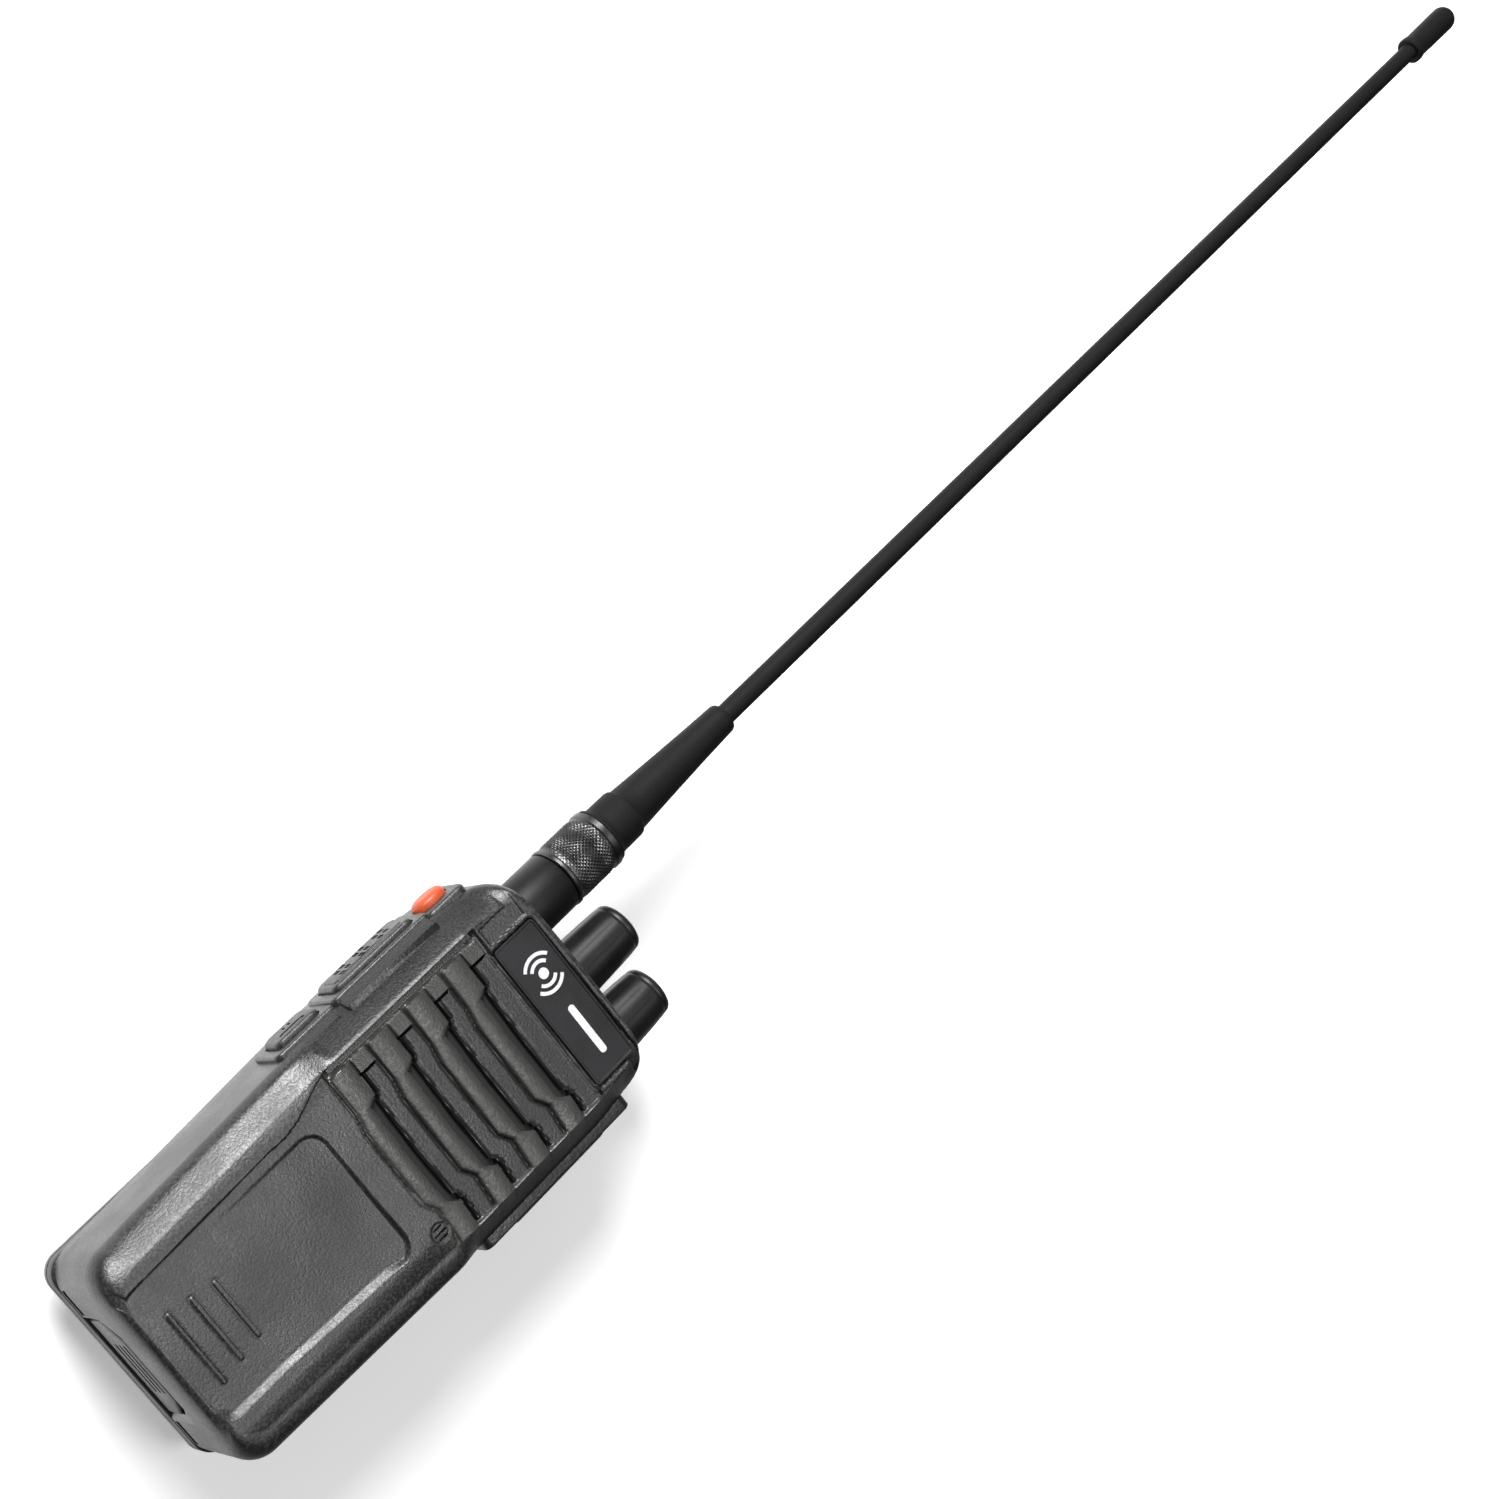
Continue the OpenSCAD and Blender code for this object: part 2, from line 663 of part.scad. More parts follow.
module charging_contacts() {
    color("#c8cacc") placed() for (x = [-9, 9]) {
        rod_y(x, 14, 2.4, battery_back_y - 0.6, battery_back_y - 0.2);
    }
}

module latch_slider() {
    color("#2c2d2f") placed() difference() {
        union() {
            translate([0, 0, 0.5]) linear_extrude(wall) intersection() {
                latch_outline(0);
                translate([-20, 0]) square([40, shell_d - 0.5]);
            }
            span([-5, shell_d - 3, wall + 0.4], [5, shell_d - 1.4, wall + 2.4]);
        }
        for (i = [0:2]) span([-7, latch_y0 + 2.5 + 2.6 * i, 0], [7, latch_y0 + 3.6 + 2.6 * i, 1]);
    }
}

module latch_spring() {
    back_y = latch_y0 - latch_travel - 2.9;
    color("#b5b8bb") placed() for (x = [-9, 9]) {
        span([x - 3, back_y - 0.5, wall], [x + 3, back_y, wall + 3]);
        span([x - 3, back_y - 0.8, wall], [x + 3, back_y, wall + 0.5]);
    }
}

// ---- antenna ----

module antenna_washer() {
    color("#121213") placed() difference() {
        rod_z(antenna_x, axis_y, ring_r - 0.3, washer_z, washer_z + washer_t);
        rod_z(antenna_x, axis_y, socket_r + 0.15, washer_z - 1, washer_z + washer_t + 1);
    }
}

module antenna_base() {
    color("#101011") placed() translate([antenna_x, axis_y, 0]) difference() {
        union() {
            translate([0, 0, base_z]) cylinder(r = ring_r, h = ring_z - base_z);
            translate([0, 0, ring_z]) cylinder(r = ring_r - 1.6, h = boot_z - ring_z);
        }
        translate([0, 0, base_z - 1]) cylinder(r = socket_r + fit_gap, h = socket_top_z + 1 - base_z + 0.5);
        translate([0, 0, socket_top_z]) cylinder(r = pin_r, h = boot_z - socket_top_z + 1);
    }
}

module antenna_ring() {
    color("#3a3b3d") placed() translate([antenna_x, axis_y, ring_z]) difference() {
        union() {
            cylinder(r = ring_r - 0.35, h = boot_z - ring_z);
            for (z = [0, boot_z - ring_z - 1]) translate([0, 0, z]) cylinder(r = ring_r - 0.1, h = 1);
        }
        translate([0, 0, -1]) cylinder(r = ring_r - 1.6, h = boot_z - ring_z + 2);
    }
}

module antenna_contact() {
    color("#d7b45a") placed() rod_z(antenna_x, axis_y, pin_r, deck_z + 3, boot_z + 6);
}

module antenna_boot() {
    color("#0f0f10") placed() translate([antenna_x, axis_y, boot_z]) difference() {
        rotate_extrude()
            polygon([[0, 0], [ring_r - 0.4, 0], [ring_r - 0.4, 1.4], [boot_r + 0.4, 2.2], [boot_r, 3],
                     [boot_r, cone_z - boot_z], [3.9, whip_z - boot_z], [3.5, whip_z - boot_z + 0.6],
                     [0, whip_z - boot_z + 0.6]]);
        translate([0, 0, 6]) cylinder(r = whip_low_r, h = whip_z - boot_z);
        translate([0, 0, -1]) cylinder(r = pin_r, h = 8);
    }
}

module antenna_whip() {
    color("#121213") placed() translate([antenna_x, axis_y, boot_z + 6])
        cylinder(r1 = whip_low_r, r2 = whip_top_r, h = tip_z - 8 - boot_z - 6);
}

module antenna_tip() {
    cap_r = 3.6;
    color("#0f0f10") placed() translate([antenna_x, axis_y, tip_z - cap_h]) difference() {
        union() {
            cylinder(r = cap_r + 0.25, h = 3);
            cylinder(r = cap_r, h = cap_h - cap_r);
            translate([0, 0, cap_h - cap_r]) sphere(cap_r);
        }
        translate([0, 0, -1]) cylinder(r = whip_top_r + 0.012, h = cap_h - 8 + 1);
    }
}

// ---- knobs and their shafts ----

module control_shaft(x, top) {
    rod_z(x, axis_y, shaft_r, deck_under_z - 5, top);
}

module knob(x, h) {
    z0 = deck_z + knob_gap;
    translate([x, axis_y, z0]) difference() {
        union() {
            cylinder(r = knob_r, h = knob_skirt_h);
            translate([0, 0, knob_skirt_h])
                cylinder(r1 = knob_r - 0.3, r2 = knob_r - 1.1, h = h - knob_skirt_h - 0.8);
            translate([0, 0, h - 0.8]) cylinder(r1 = knob_r - 1.1, r2 = knob_r - 1.7, h = 0.8);
        }
        for (i = [0:knob_flutes - 1]) rotate([0, 0, i * 360 / knob_flutes])
            translate([knob_r + 0.1, 0, knob_skirt_h]) rotate([0, -3, 0])
                cylinder(r = 0.7, h = h, $fn = 16);
        translate([0, 0, -1]) cylinder(r = knob_hollow_r, h = knob_hollow_h + 1);
        translate([0, 0, -1]) cylinder(r = shaft_r, h = h - 2);
    }
}

module volume_shaft() {
    color("#b8bbbf") placed() control_shaft(volume_x, deck_z + knob_gap + volume_knob_h - 3);
}

module volume_knob() {
    color("#141416") placed() knob(volume_x, volume_knob_h);
}

module channel_shaft() {
    color("#b8bbbf") placed() control_shaft(channel_x, deck_z + knob_gap + channel_knob_h - 3);
}

module channel_knob() {
    color("#141416") placed() knob(channel_x, channel_knob_h);
}

// ---- side keys and the jack cover ----

module ptt_button() {
    color("#222326") placed() {
        side_slab(key_y0, key_y1, ptt_z0, ptt_z1, 2, -side_hw + 0.6, -key_inner_x);
        side_slab(key_y0 + 1, key_y1 - 1, ptt_z0 + 1, ptt_z1 - 1, 1.5, -side_hw + 0.3, -side_hw + 1);
        for (z = [ptt_z0 + 5, ptt_z0 + 11, ptt_z0 + 17], i = [-1:1], j = [0:1])
            span([-side_hw, 14.2 + 2 * i, z + 1.4 * j], [-side_hw + 0.5, 15.6 + 2 * i, z + 0.7 + 1.4 * j]);
        side_slab(14, 16, ptt_mid_z - 1, ptt_mid_z + 1, 0.5, -key_inner_x - 0.1, -28.1 - key_travel);
    }
}

module monitor_button() {
    color("#222326") placed() difference() {
        side_slab(key_y0 + 1, key_y1 - 1, monitor_z0, monitor_z1, 2, -side_hw + 1, -key_inner_x);
        side_slab(13.6, 15.4, monitor_z0 + 3, monitor_z1 - 3, 0.8, -side_hw, -side_hw + 1.5);
    }
}

module alarm_button() {
    color("#f06a3c") placed() {
        side_slab(alarm_y - alarm_half_w, alarm_y + alarm_half_w, alarm_z - alarm_half_h,
                  alarm_z + alarm_half_h, alarm_half_w - 0.1, -side_hw + 0.9, -key_inner_x);
        side_slab(alarm_y - alarm_half_w + 0.8, alarm_y + alarm_half_w - 0.8, alarm_z - alarm_half_h + 0.8,
                  alarm_z + alarm_half_h - 0.8, alarm_half_w - 0.9, -side_hw + 0.4, -side_hw + 1);
    }
}

module jack_cover() {
    color("#242528") placed() difference() {
        union() {
            side_slab(cover_front_y, cover_back_y, cover_z0, cover_z1, 2, side_hw - 0.9, side_hw - 0.2);
            side_slab(cover_front_y + 1, cover_back_y - 1, cover_z0 + 1.5, cover_z1 - 1.5, 1.6,
                      side_hw - 0.3, side_hw);
            rod_z(cover_hinge_x, cover_hinge_y, knuckle_r, cover_z0 + 4, cover_z1 - 4);
            span([cover_hinge_x + 0.2, cover_back_y - 1, cover_z0 + 4],
                 [cover_hinge_x + 0.8, cover_hinge_y, cover_z1 - 4]);
        }
        rod_z(cover_hinge_x, cover_hinge_y, cover_pin_r + fit_gap, cover_z0, cover_z1);
    }
}

module cover_hinge_pin() {
    color("#b8bbbf") placed() rod_z(cover_hinge_x, cover_hinge_y, cover_pin_r, cover_z0 + 1, cover_z1 - 1);
}

front_shell();
label_plate();
grille_cloth();
speaker_frame();
speaker_cone();
speaker_magnet();
mic_boot();
microphone();
main_board();
rf_shields();
chassis();
chassis_gasket();
chassis_screws();
antenna_socket();
socket_nut();
volume_pot();
channel_switch();
control_nuts();
led_lens();
side_keypad();
side_switches();
audio_jacks();
cover_hinge_pin();
battery_springs();
clip_bracket();
clip_screws();
clip_pin();
clip_spring();
latch_spring();
battery_case();
battery_lid();
battery_cells();
battery_board();
battery_terminals();
charging_contacts();
latch_slider();
antenna_washer();
antenna_base();
antenna_ring();
antenna_contact();
antenna_boot();
antenna_whip();
antenna_tip();
volume_shaft();
volume_knob();
channel_shaft();
channel_knob();
ptt_button();
monitor_button();
alarm_button();
jack_cover();
clip_lever();
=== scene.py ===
import math

import bmesh
import bpy
import numpy as np
from mathutils import Matrix, Vector


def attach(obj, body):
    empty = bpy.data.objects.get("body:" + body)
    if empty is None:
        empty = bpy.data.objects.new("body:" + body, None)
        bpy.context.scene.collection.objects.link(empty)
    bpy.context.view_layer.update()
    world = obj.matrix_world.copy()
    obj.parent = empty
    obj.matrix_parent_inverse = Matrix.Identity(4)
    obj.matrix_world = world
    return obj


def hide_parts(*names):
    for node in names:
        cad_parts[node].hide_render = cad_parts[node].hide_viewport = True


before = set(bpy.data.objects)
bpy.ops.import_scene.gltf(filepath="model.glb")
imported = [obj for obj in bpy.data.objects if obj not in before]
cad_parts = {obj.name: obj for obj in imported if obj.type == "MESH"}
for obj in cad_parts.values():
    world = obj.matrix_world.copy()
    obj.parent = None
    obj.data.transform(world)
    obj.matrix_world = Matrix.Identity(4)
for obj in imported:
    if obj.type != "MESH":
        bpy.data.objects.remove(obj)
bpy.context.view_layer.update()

# All shapes are drawn in millimetres: x across, d the depth behind the foremost face, z up from the
# base. to_frame() turns them into the part's own frame, in metres. HW is half a width.
MM = 0.001
TOTAL_D = 43.0
BODY_H = 128.0
BASE_HW = 28.5
WAIST_HW = 31.0
TOP_HW = 29.0
WAIST_Z = 70.0
SHOULDER_Z = 112.0
SHELL_D = 28.0
WALL = 2.2
CORNER_R = 7.0
SIDE_HW = 34.5
AXIS_D = 16.0
ANTENNA_X = -15.0
VOLUME_X = 3.7
CHANNEL_X = 19.8


# ---- mesh helpers ----


def to_frame(points):
    q = np.array(points, float).reshape(-1, 3)
    q[:, 1] -= TOTAL_D / 2
    return q * MM


def linked(name, data):
    """A new object in the scene."""
    obj = bpy.data.objects.new(name, data)
    bpy.context.scene.collection.objects.link(obj)
    return obj


def mesh_object(name, points, faces):
    mesh = bpy.data.meshes.new(name)
    mesh.from_pydata(to_frame(points).tolist(), [], faces)
    mesh.validate()
    return linked(name, mesh)


def outward(obj):
    bm = bmesh.new()
    bm.from_mesh(obj.data)
    bmesh.ops.recalc_face_normals(bm, faces=bm.faces)
    bm.to_mesh(obj.data)
    bm.free()
    return obj


def smooth(obj, angle):
    """Shades smooth, with edges sharper than the angle kept crisp."""
    bm = bmesh.new()
    bm.from_mesh(obj.data)
    limit = math.radians(angle)
    for f in bm.faces:
        f.smooth = True
    for e in bm.edges:
        e.smooth = e.calc_face_angle(0.0) < limit
    bm.to_mesh(obj.data)
    bm.free()
    return obj


def joined(name, objects):
    """One object with the meshes of all of them, each still a closed shell of its own."""
    bm = bmesh.new()
    for o in objects:
        bm.from_mesh(o.data)
    mesh = bpy.data.meshes.new(name)
    bm.to_mesh(mesh)
    bm.free()
    for o in objects:
        bpy.data.objects.remove(o)
    return linked(name, mesh)


def cut(obj, tool, operation="DIFFERENCE"):
    """Cuts one closed solid out of another and applies the result to the mesh."""
    mod = obj.modifiers.new("cut", "BOOLEAN")
    mod.operation = operation
    mod.object = tool
    mod.solver = "MANIFOLD"
    bpy.context.view_layer.update()
    done = bpy.data.meshes.new_from_object(obj.evaluated_get(bpy.context.evaluated_depsgraph_get()))
    obj.modifiers.clear()
    obj.data = done
    bpy.data.objects.remove(tool)


def add(obj, tool):
    """As cut, but the tool's solid is added."""
    cut(obj, tool, "UNION")


def loft(name, loops, ring=False):
    """A skin through loops of equal length. Its ends are filled, or in a ring they join each other."""
    n = len(loops[0])
    points = np.concatenate([np.array(loop, float) for loop in loops])
    faces = []
    for k in range(len(loops) if ring else len(loops) - 1):
        a, b = k * n, (k + 1) % len(loops) * n
        for i in range(n):
            j = (i + 1) % n
            faces.append((a + i, a + j, b + j, b + i))
    if not ring:
        last = (len(loops) - 1) * n
        faces.append(tuple(range(n - 1, -1, -1)))
        faces.append(tuple(range(last, last + n)))
    return outward(mesh_object(name, points, faces))


def rounded_loop(u0, u1, v0, v1, r, steps=8):
    """The outline of a rounded rectangle, always with the same number of points for the same steps."""
    r = max(min(r, (u1 - u0) / 2 - 1e-4, (v1 - v0) / 2 - 1e-4), 1e-4)
    corners = ((u1 - r, v0 + r, -90), (u1 - r, v1 - r, 0), (u0 + r, v1 - r, 90), (u0 + r, v0 + r, 180))
    out = []
    for cu, cv, start in corners:
        for i in range(steps + 1):
            a = math.radians(start + 90 * i / steps)
            out.append((cu + r * math.cos(a), cv + r * math.sin(a)))
    return out


def ellipse(half_u, half_v, cu, cv, n=48):
    angles = [2 * math.pi * i / n for i in range(n)]
    return [(cu + half_u * math.cos(a), cv + half_v * math.sin(a)) for a in angles]


# For each axis, its own column and the two columns that a flat outline's points go to
AXES = {"x": (0, 1, 2), "y": (1, 0, 2), "z": (2, 0, 1)}


def lifted(loop, axis, level):
    """Stands a flat outline up at a level along an axis."""
    a, b, c = AXES[axis]
    out = np.zeros((len(loop), 3))
    out[:, a] = level
    out[:, b] = [p[0] for p in loop]
    out[:, c] = [p[1] for p in loop]
    return out


def pad(name, axis, u, v, r, levels, steps=8):
    """A rounded slab along an axis. levels lists (place along the axis, inset of the outline)."""
    loops = []
    for level, inset in levels:
        u0, u1, v0, v1 = u[0] + inset, u[1] - inset, v[0] + inset, v[1] - inset
        loops.append(lifted(rounded_loop(u0, u1, v0, v1, r - inset * 0.6, steps), axis, level))
    return loft(name, loops)


def rounded_levels(low, high, edge, steps, both=False):
    """Levels for pad() that round off the edge at high, and break the one at low too."""
    sign = 1 if high > low else -1
    angles = [math.pi / 2 * i / steps for i in range(steps + 1)]
    top = [(high - sign * edge * (1 - math.sin(a)), edge * (1 - math.cos(a))) for a in angles]
    bottom = [(low, edge * 0.4), (low + sign * edge * 0.4, 0)] if both else [(low, 0)]
    return bottom + top


def box(name, low, high):
    """A block with barely rounded edges, from its low corner to its high one."""
    return pad(name, "x", (low[1], high[1]), (low[2], high[2]), 0.08, [(low[0], 0), (high[0], 0)], 2)


def turned(name, profile, x, d, turns=64):
    """A turned piece about an upright axis. profile lists (radius, height) from the axis out and back."""
    return loft(name, [lifted(ellipse(r, r, x, d, turns), "z", height) for r, height in profile])


def disc(name, x, d, r, z0, z1, turns=48):
    return turned(name, [(r, z0), (r, z1)], x, d, turns)


def side_rod(name, d, z, r, x0, x1):
    """A round bar that runs from side to side."""
    return loft(name, [lifted(ellipse(r, r, d, z, 40), "x", x) for x in (x0, x1)])


def rod_y(name, x, z, r, d0, d1):
    """A round bar that runs from front to back."""
    return loft(name, [lifted(ellipse(r, r, x, z, 32), "y", d) for d in (d0, d1)])


def side_pad(name, d, z, r, x0, x1, edge):
    """A raised pad on a side wall, rounded at its outer edge."""
    return pad(name, "x", d, z, r, rounded_levels(x0, x1, edge, 5), 8)


def place(obj, body, material, slot, *nodes):
    """Rides the body, takes the material, and stands for the CAD nodes named. Its slot is not used."""
    obj.data.materials.clear()
    obj.data.materials.append(material)
    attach(obj, body)
    if nodes:
        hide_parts(*nodes)
    return obj


# ---- materials ----


def new_node(tree, kind, **values):
    made = tree.nodes.new(kind)
    for key, value in values.items():
        setattr(made, key, value)
    return made


class Nodes:
    """Short names for building a material's nodes."""

    def __init__(self, name):
        self.material = bpy.data.materials.new(name)
        self.material.use_nodes = True
        self.tree = self.material.node_tree
        self.shader = self.tree.nodes["Principled BSDF"]
        self.coords = self.tree.nodes.new("ShaderNodeTexCoord").outputs["Object"]

    def node(self, kind, **values):
        return new_node(self.tree, kind, **values)

    def link(self, a, b):
        self.tree.links.new(a, b)

    def noise(self, size_mm, detail=4.0, roughness=0.55, stretch=None):
        n = self.node("ShaderNodeTexNoise")
        n.inputs["Scale"].default_value = 1.0 / (size_mm * MM)
        n.inputs["Detail"].default_value = detail
        n.inputs["Roughness"].default_value = roughness
        source = self.coords
        if stretch:
            mapping = self.node("ShaderNodeMapping")
            mapping.inputs["Scale"].default_value = stretch
            self.link(source, mapping.inputs["Vector"])
            source = mapping.outputs["Vector"]
        self.link(source, n.inputs["Vector"])
        return n.outputs["Fac"]

    def cells(self, size_mm, feature="F1"):
        n = self.node("ShaderNodeTexVoronoi", feature=feature)
        n.inputs["Scale"].default_value = 1.0 / (size_mm * MM)
        self.link(self.coords, n.inputs["Vector"])
        return n.outputs["Distance"]

    def spread(self, value, low, high, a=0.35, b=0.65):
        """Maps a value's usual range onto low to high."""
        n = self.node("ShaderNodeMapRange")
        self.link(value, n.inputs["Value"])
        for key, v in (("From Min", a), ("From Max", b), ("To Min", low), ("To Max", high)):
            n.inputs[key].default_value = v
        return n.outputs["Result"]

    def math(self, operation, a, b):
        n = self.node("ShaderNodeMath", operation=operation)
        for socket, v in zip(n.inputs, (a, b)):
            if isinstance(v, (int, float)):
                socket.default_value = v
            else:
                self.link(v, socket)
        return n.outputs["Value"]

    def mix(self, factor, a, b):
        n = self.node("ShaderNodeMix", data_type="RGBA")
        self.link(factor, n.inputs["Factor"])
        for socket, v in ((n.inputs[6], a), (n.inputs[7], b)):
            if isinstance(v, tuple):
                socket.default_value = v
            else:
                self.link(v, socket)
        return n.outputs[2]

    def bump(self, height, strength, distance_mm):
        n = self.node("ShaderNodeBump")
        n.inputs["Strength"].default_value = strength
        n.inputs["Distance"].default_value = distance_mm * MM
        self.link(height, n.inputs["Height"])
        return n.outputs["Normal"]

    def finish(self, color, roughness, normal=None, **fixed):
        self.link(color, self.shader.inputs["Base Color"])
        self.link(roughness, self.shader.inputs["Roughness"])
        if normal is not None:
            self.link(normal, self.shader.inputs["Normal"])
        for k, v in fixed.items():
            self.shader.inputs[k.replace("_", " ")].default_value = v
        return self.material


def rgba(value, tint=(1.0, 1.0, 1.0)):
    return (value * tint[0], value * tint[1], value * tint[2], 1.0)


def moulded(
    name, value, tint, rough, grain_mm, grain, depth_mm, edge,
    gloss=0.5, speck=0.2, sparkle=0.06, toned=False,
):
    """Moulded plastic or rubber: a fine spark-eroded grain, faint mottling, and paler rubbed edges.

    grain, grain_mm and depth_mm are the bump's strength, size and depth. speck and sparkle let the grain
    show in the colour and the roughness, and edge is how much the edges are rubbed. toned mixes in the
    paler tone and the painted shade that each point of the mesh carries.
    """
    n = Nodes(name)
    fine = n.noise(grain_mm, 2.0, 0.55)
    broad = n.noise(14.0, 3.0, 0.5)
    patch = n.noise(2.6, 2.0, 0.5)
    base = n.mix(n.spread(broad, 0.0, 1.0), rgba(value * 0.9, tint), rgba(value * 1.12, tint))
    base = n.mix(n.spread(fine, 0.0, speck, 0.46, 0.66), base, rgba(value * 4.0, tint))
    worn = n.node("ShaderNodeNewGeometry").outputs["Pointiness"]
    worn = n.math("MULTIPLY", n.spread(worn, 0.0, edge, 0.515, 0.56), n.spread(patch, 0.2, 1.0))
    base = n.mix(worn, base, rgba(value * 2.6, tint))
    glint = n.spread(fine, -sparkle, sparkle)
    roughness = n.math("ADD", n.spread(broad, rough - 0.04, rough + 0.05), glint)
    if toned:
        tone_and_shade = n.node("ShaderNodeAttribute", attribute_name="tone_and_shade").outputs["Fac"]
        # Above 0 the tone makes the plastic paler and warmer; below 0 it is painted shade, darker and
        # bluer, on the slats partly their own bluer tone
        base = n.mix(n.spread(tone_and_shade, 0.0, 1.0, 0.0, 1.0), base, rgba(value * 2.3, (1.0, 0.98, 0.90)))
        base = n.mix(n.spread(tone_and_shade, 0.0, 1.0, 0.0, -1.0), base, rgba(value * 0.45, (0.95, 0.98, 1.1)))
    normal = n.bump(fine, grain, depth_mm)
    return n.finish(base, roughness, normal, Specular_IOR_Level=gloss)


def metal(name, value, tint=(1, 1, 1), rough=0.3, scratch=0.2):
    """Bare or plated metal with fine turning marks and a faint tarnish."""
    n = Nodes(name)
    lines = n.noise(0.35, 3.0, 0.6, stretch=(1.0, 1.0, 12.0))
    tarnish = n.noise(5.0, 4.0, 0.6)
    base = n.mix(n.spread(tarnish, 0.0, 1.0), rgba(value * 0.78, tint), rgba(value, tint))
    roughness = n.math("ADD", n.spread(tarnish, rough, rough + 0.12), n.spread(lines, -0.05, 0.06))
    return n.finish(base, roughness, n.bump(lines, scratch, 0.01), Metallic=1.0)


GREY = (1.0, 1.0, 1.0)
SHELL = moulded(
    "shell_plastic", 0.013, (1.0, 0.985, 0.955), rough=0.40, grain_mm=0.62, grain=1.0, depth_mm=0.085,
    edge=0.3, gloss=0.7, speck=0.65, toned=True,
)
KEYS = moulded(
    "key_rubber", 0.016, GREY, rough=0.44, grain_mm=0.7, grain=1.0, depth_mm=0.08, edge=0.3, gloss=0.7,
    speck=0.5,
)
BATTERY = moulded(
    "battery_plastic", 0.012, (1.0, 0.99, 0.97), rough=0.41, grain_mm=0.62, grain=1.0, depth_mm=0.08,
    edge=0.3, gloss=0.6, speck=0.6,
)
CLIP = moulded("clip_plastic", 0.016, GREY, rough=0.38, grain_mm=0.5, grain=0.8, depth_mm=0.12, edge=0.3)
KNOB = moulded(
    "knob_plastic", 0.006, (1.0, 1.0, 1.06), rough=0.40, grain_mm=0.5, grain=0.5, depth_mm=0.02, edge=0.3,
    gloss=0.42, sparkle=0.012,
)
ANTENNA = moulded(
    "antenna_plastic", 0.004, (1.0, 1.0, 1.06), rough=0.42, grain_mm=0.5, grain=0.4, depth_mm=0.02,
    edge=0.2, gloss=0.3, sparkle=0.012,
)
RUBBER = moulded(
    "antenna_rubber", 0.005, (1.0, 0.97, 0.97), rough=0.62, grain_mm=0.4, grain=0.6, depth_mm=0.05,
    edge=0.15, gloss=0.2, sparkle=0.02,
)
SEAL = moulded("seal_rubber", 0.012, GREY, rough=0.6, grain_mm=0.3, grain=0.3, depth_mm=0.02, edge=0.1)
COVER = moulded("cover_rubber", 0.016, GREY, rough=0.5, grain_mm=0.4, grain=1.0, depth_mm=0.12, edge=0.25)
ORANGE = moulded(
    "orange_rubber", 0.50, (1.0, 0.155, 0.05), rough=0.42, grain_mm=0.4, grain=0.4, depth_mm=0.03,
    edge=0.1, speck=0.05, sparkle=0.02,
)
JACK = moulded("jack_plastic", 0.014, GREY, rough=0.4, grain_mm=0.4, grain=0.3, depth_mm=0.02, edge=0.2)
SPRING = metal("plated_steel", 0.72, (1.0, 0.99, 0.97), 0.26)
KNURL = metal("knurled_metal", 0.11, (1.0, 1.0, 1.03), 0.3)
SHIELD = metal("shield_metal", 0.62, (1.0, 1.0, 0.98), 0.38)
BRASS = metal("contact_brass", 0.85, (1.0, 0.74, 0.36), 0.24)
CAST = metal("cast_chassis", 0.15, (1.0, 1.0, 1.01), 0.5, 0.4)


def label_material():
    """Dark gloss film with a little dust. The mark printed on it is a piece of its own."""
    n = Nodes("label_gloss")
    dust = n.noise(0.5, 2.0, 0.5)
    broad = n.noise(9.0, 2.0, 0.5)
    base = n.mix(n.spread(broad, 0.0, 1.0), rgba(0.008, (1, 1, 1.15)), rgba(0.013, (1, 1, 1.15)))
    base = n.mix(n.spread(dust, 0.0, 0.25, 0.62, 0.8), base, rgba(0.06))
    roughness = n.math("ADD", n.spread(broad, 0.3, 0.36), n.spread(dust, 0.0, 0.012))
    return n.finish(base, roughness, n.bump(broad, 0.1, 0.02), Specular_IOR_Level=0.3)


LABEL = label_material()


def mottled(name, noise, colours, rough, bump):
    """A surface whose colour, roughness and bump all follow one noise."""
    n = Nodes(name)
    mottle = n.noise(*noise)
    base = n.mix(n.spread(mottle, 0.0, 1.0), *colours)
    return n.finish(base, n.spread(mottle, *rough), n.bump(mottle, *bump))


INK = rgba(0.62, (1, 1, 1.02)), rgba(0.82, (1, 1, 1.02))
FIBRE = rgba(0.012), rgba(0.028)
HAZE = rgba(0.55, (0.86, 1.0, 0.9)), rgba(0.7, (0.9, 1.0, 0.93))
PRINT = mottled("label_print_ink", (0.6, 4.0, 0.6), INK, (0.45, 0.6), (0.1, 0.01))
PAPER = mottled("cone_paper", (0.6, 6.0, 0.7), FIBRE, (0.7, 0.85), (0.5, 0.05))
LENS = mottled("led_clear", (0.8, 3.0, 0.5), HAZE, (0.08, 0.2), (0.1, 0.01))


def board_material():
    n = Nodes("circuit_board")
    weave = n.cells(1.6, "DISTANCE_TO_EDGE")
    blotch = n.noise(7.0, 3.0, 0.5)
    green = rgba(0.10, (0.5, 1.0, 0.6)), rgba(0.05, (0.3, 1.0, 0.5))
    base = n.mix(n.spread(weave, 0.0, 1.0, 0.02, 0.09), *green)
    base = n.mix(n.spread(blotch, 0.0, 0.5), base, rgba(0.03, (0.3, 1.0, 0.6)))
    return n.finish(base, n.spread(blotch, 0.3, 0.42), n.bump(weave, 0.3, 0.03))


def cloth_material():
    n = Nodes("cloth")
    weave = n.cells(0.35)
    base = n.mix(n.spread(weave, 0.0, 1.0, 0.1, 0.6), rgba(0.004), rgba(0.012))
    return n.finish(base, n.spread(weave, 0.75, 0.92), n.bump(weave, 0.8, 0.08))


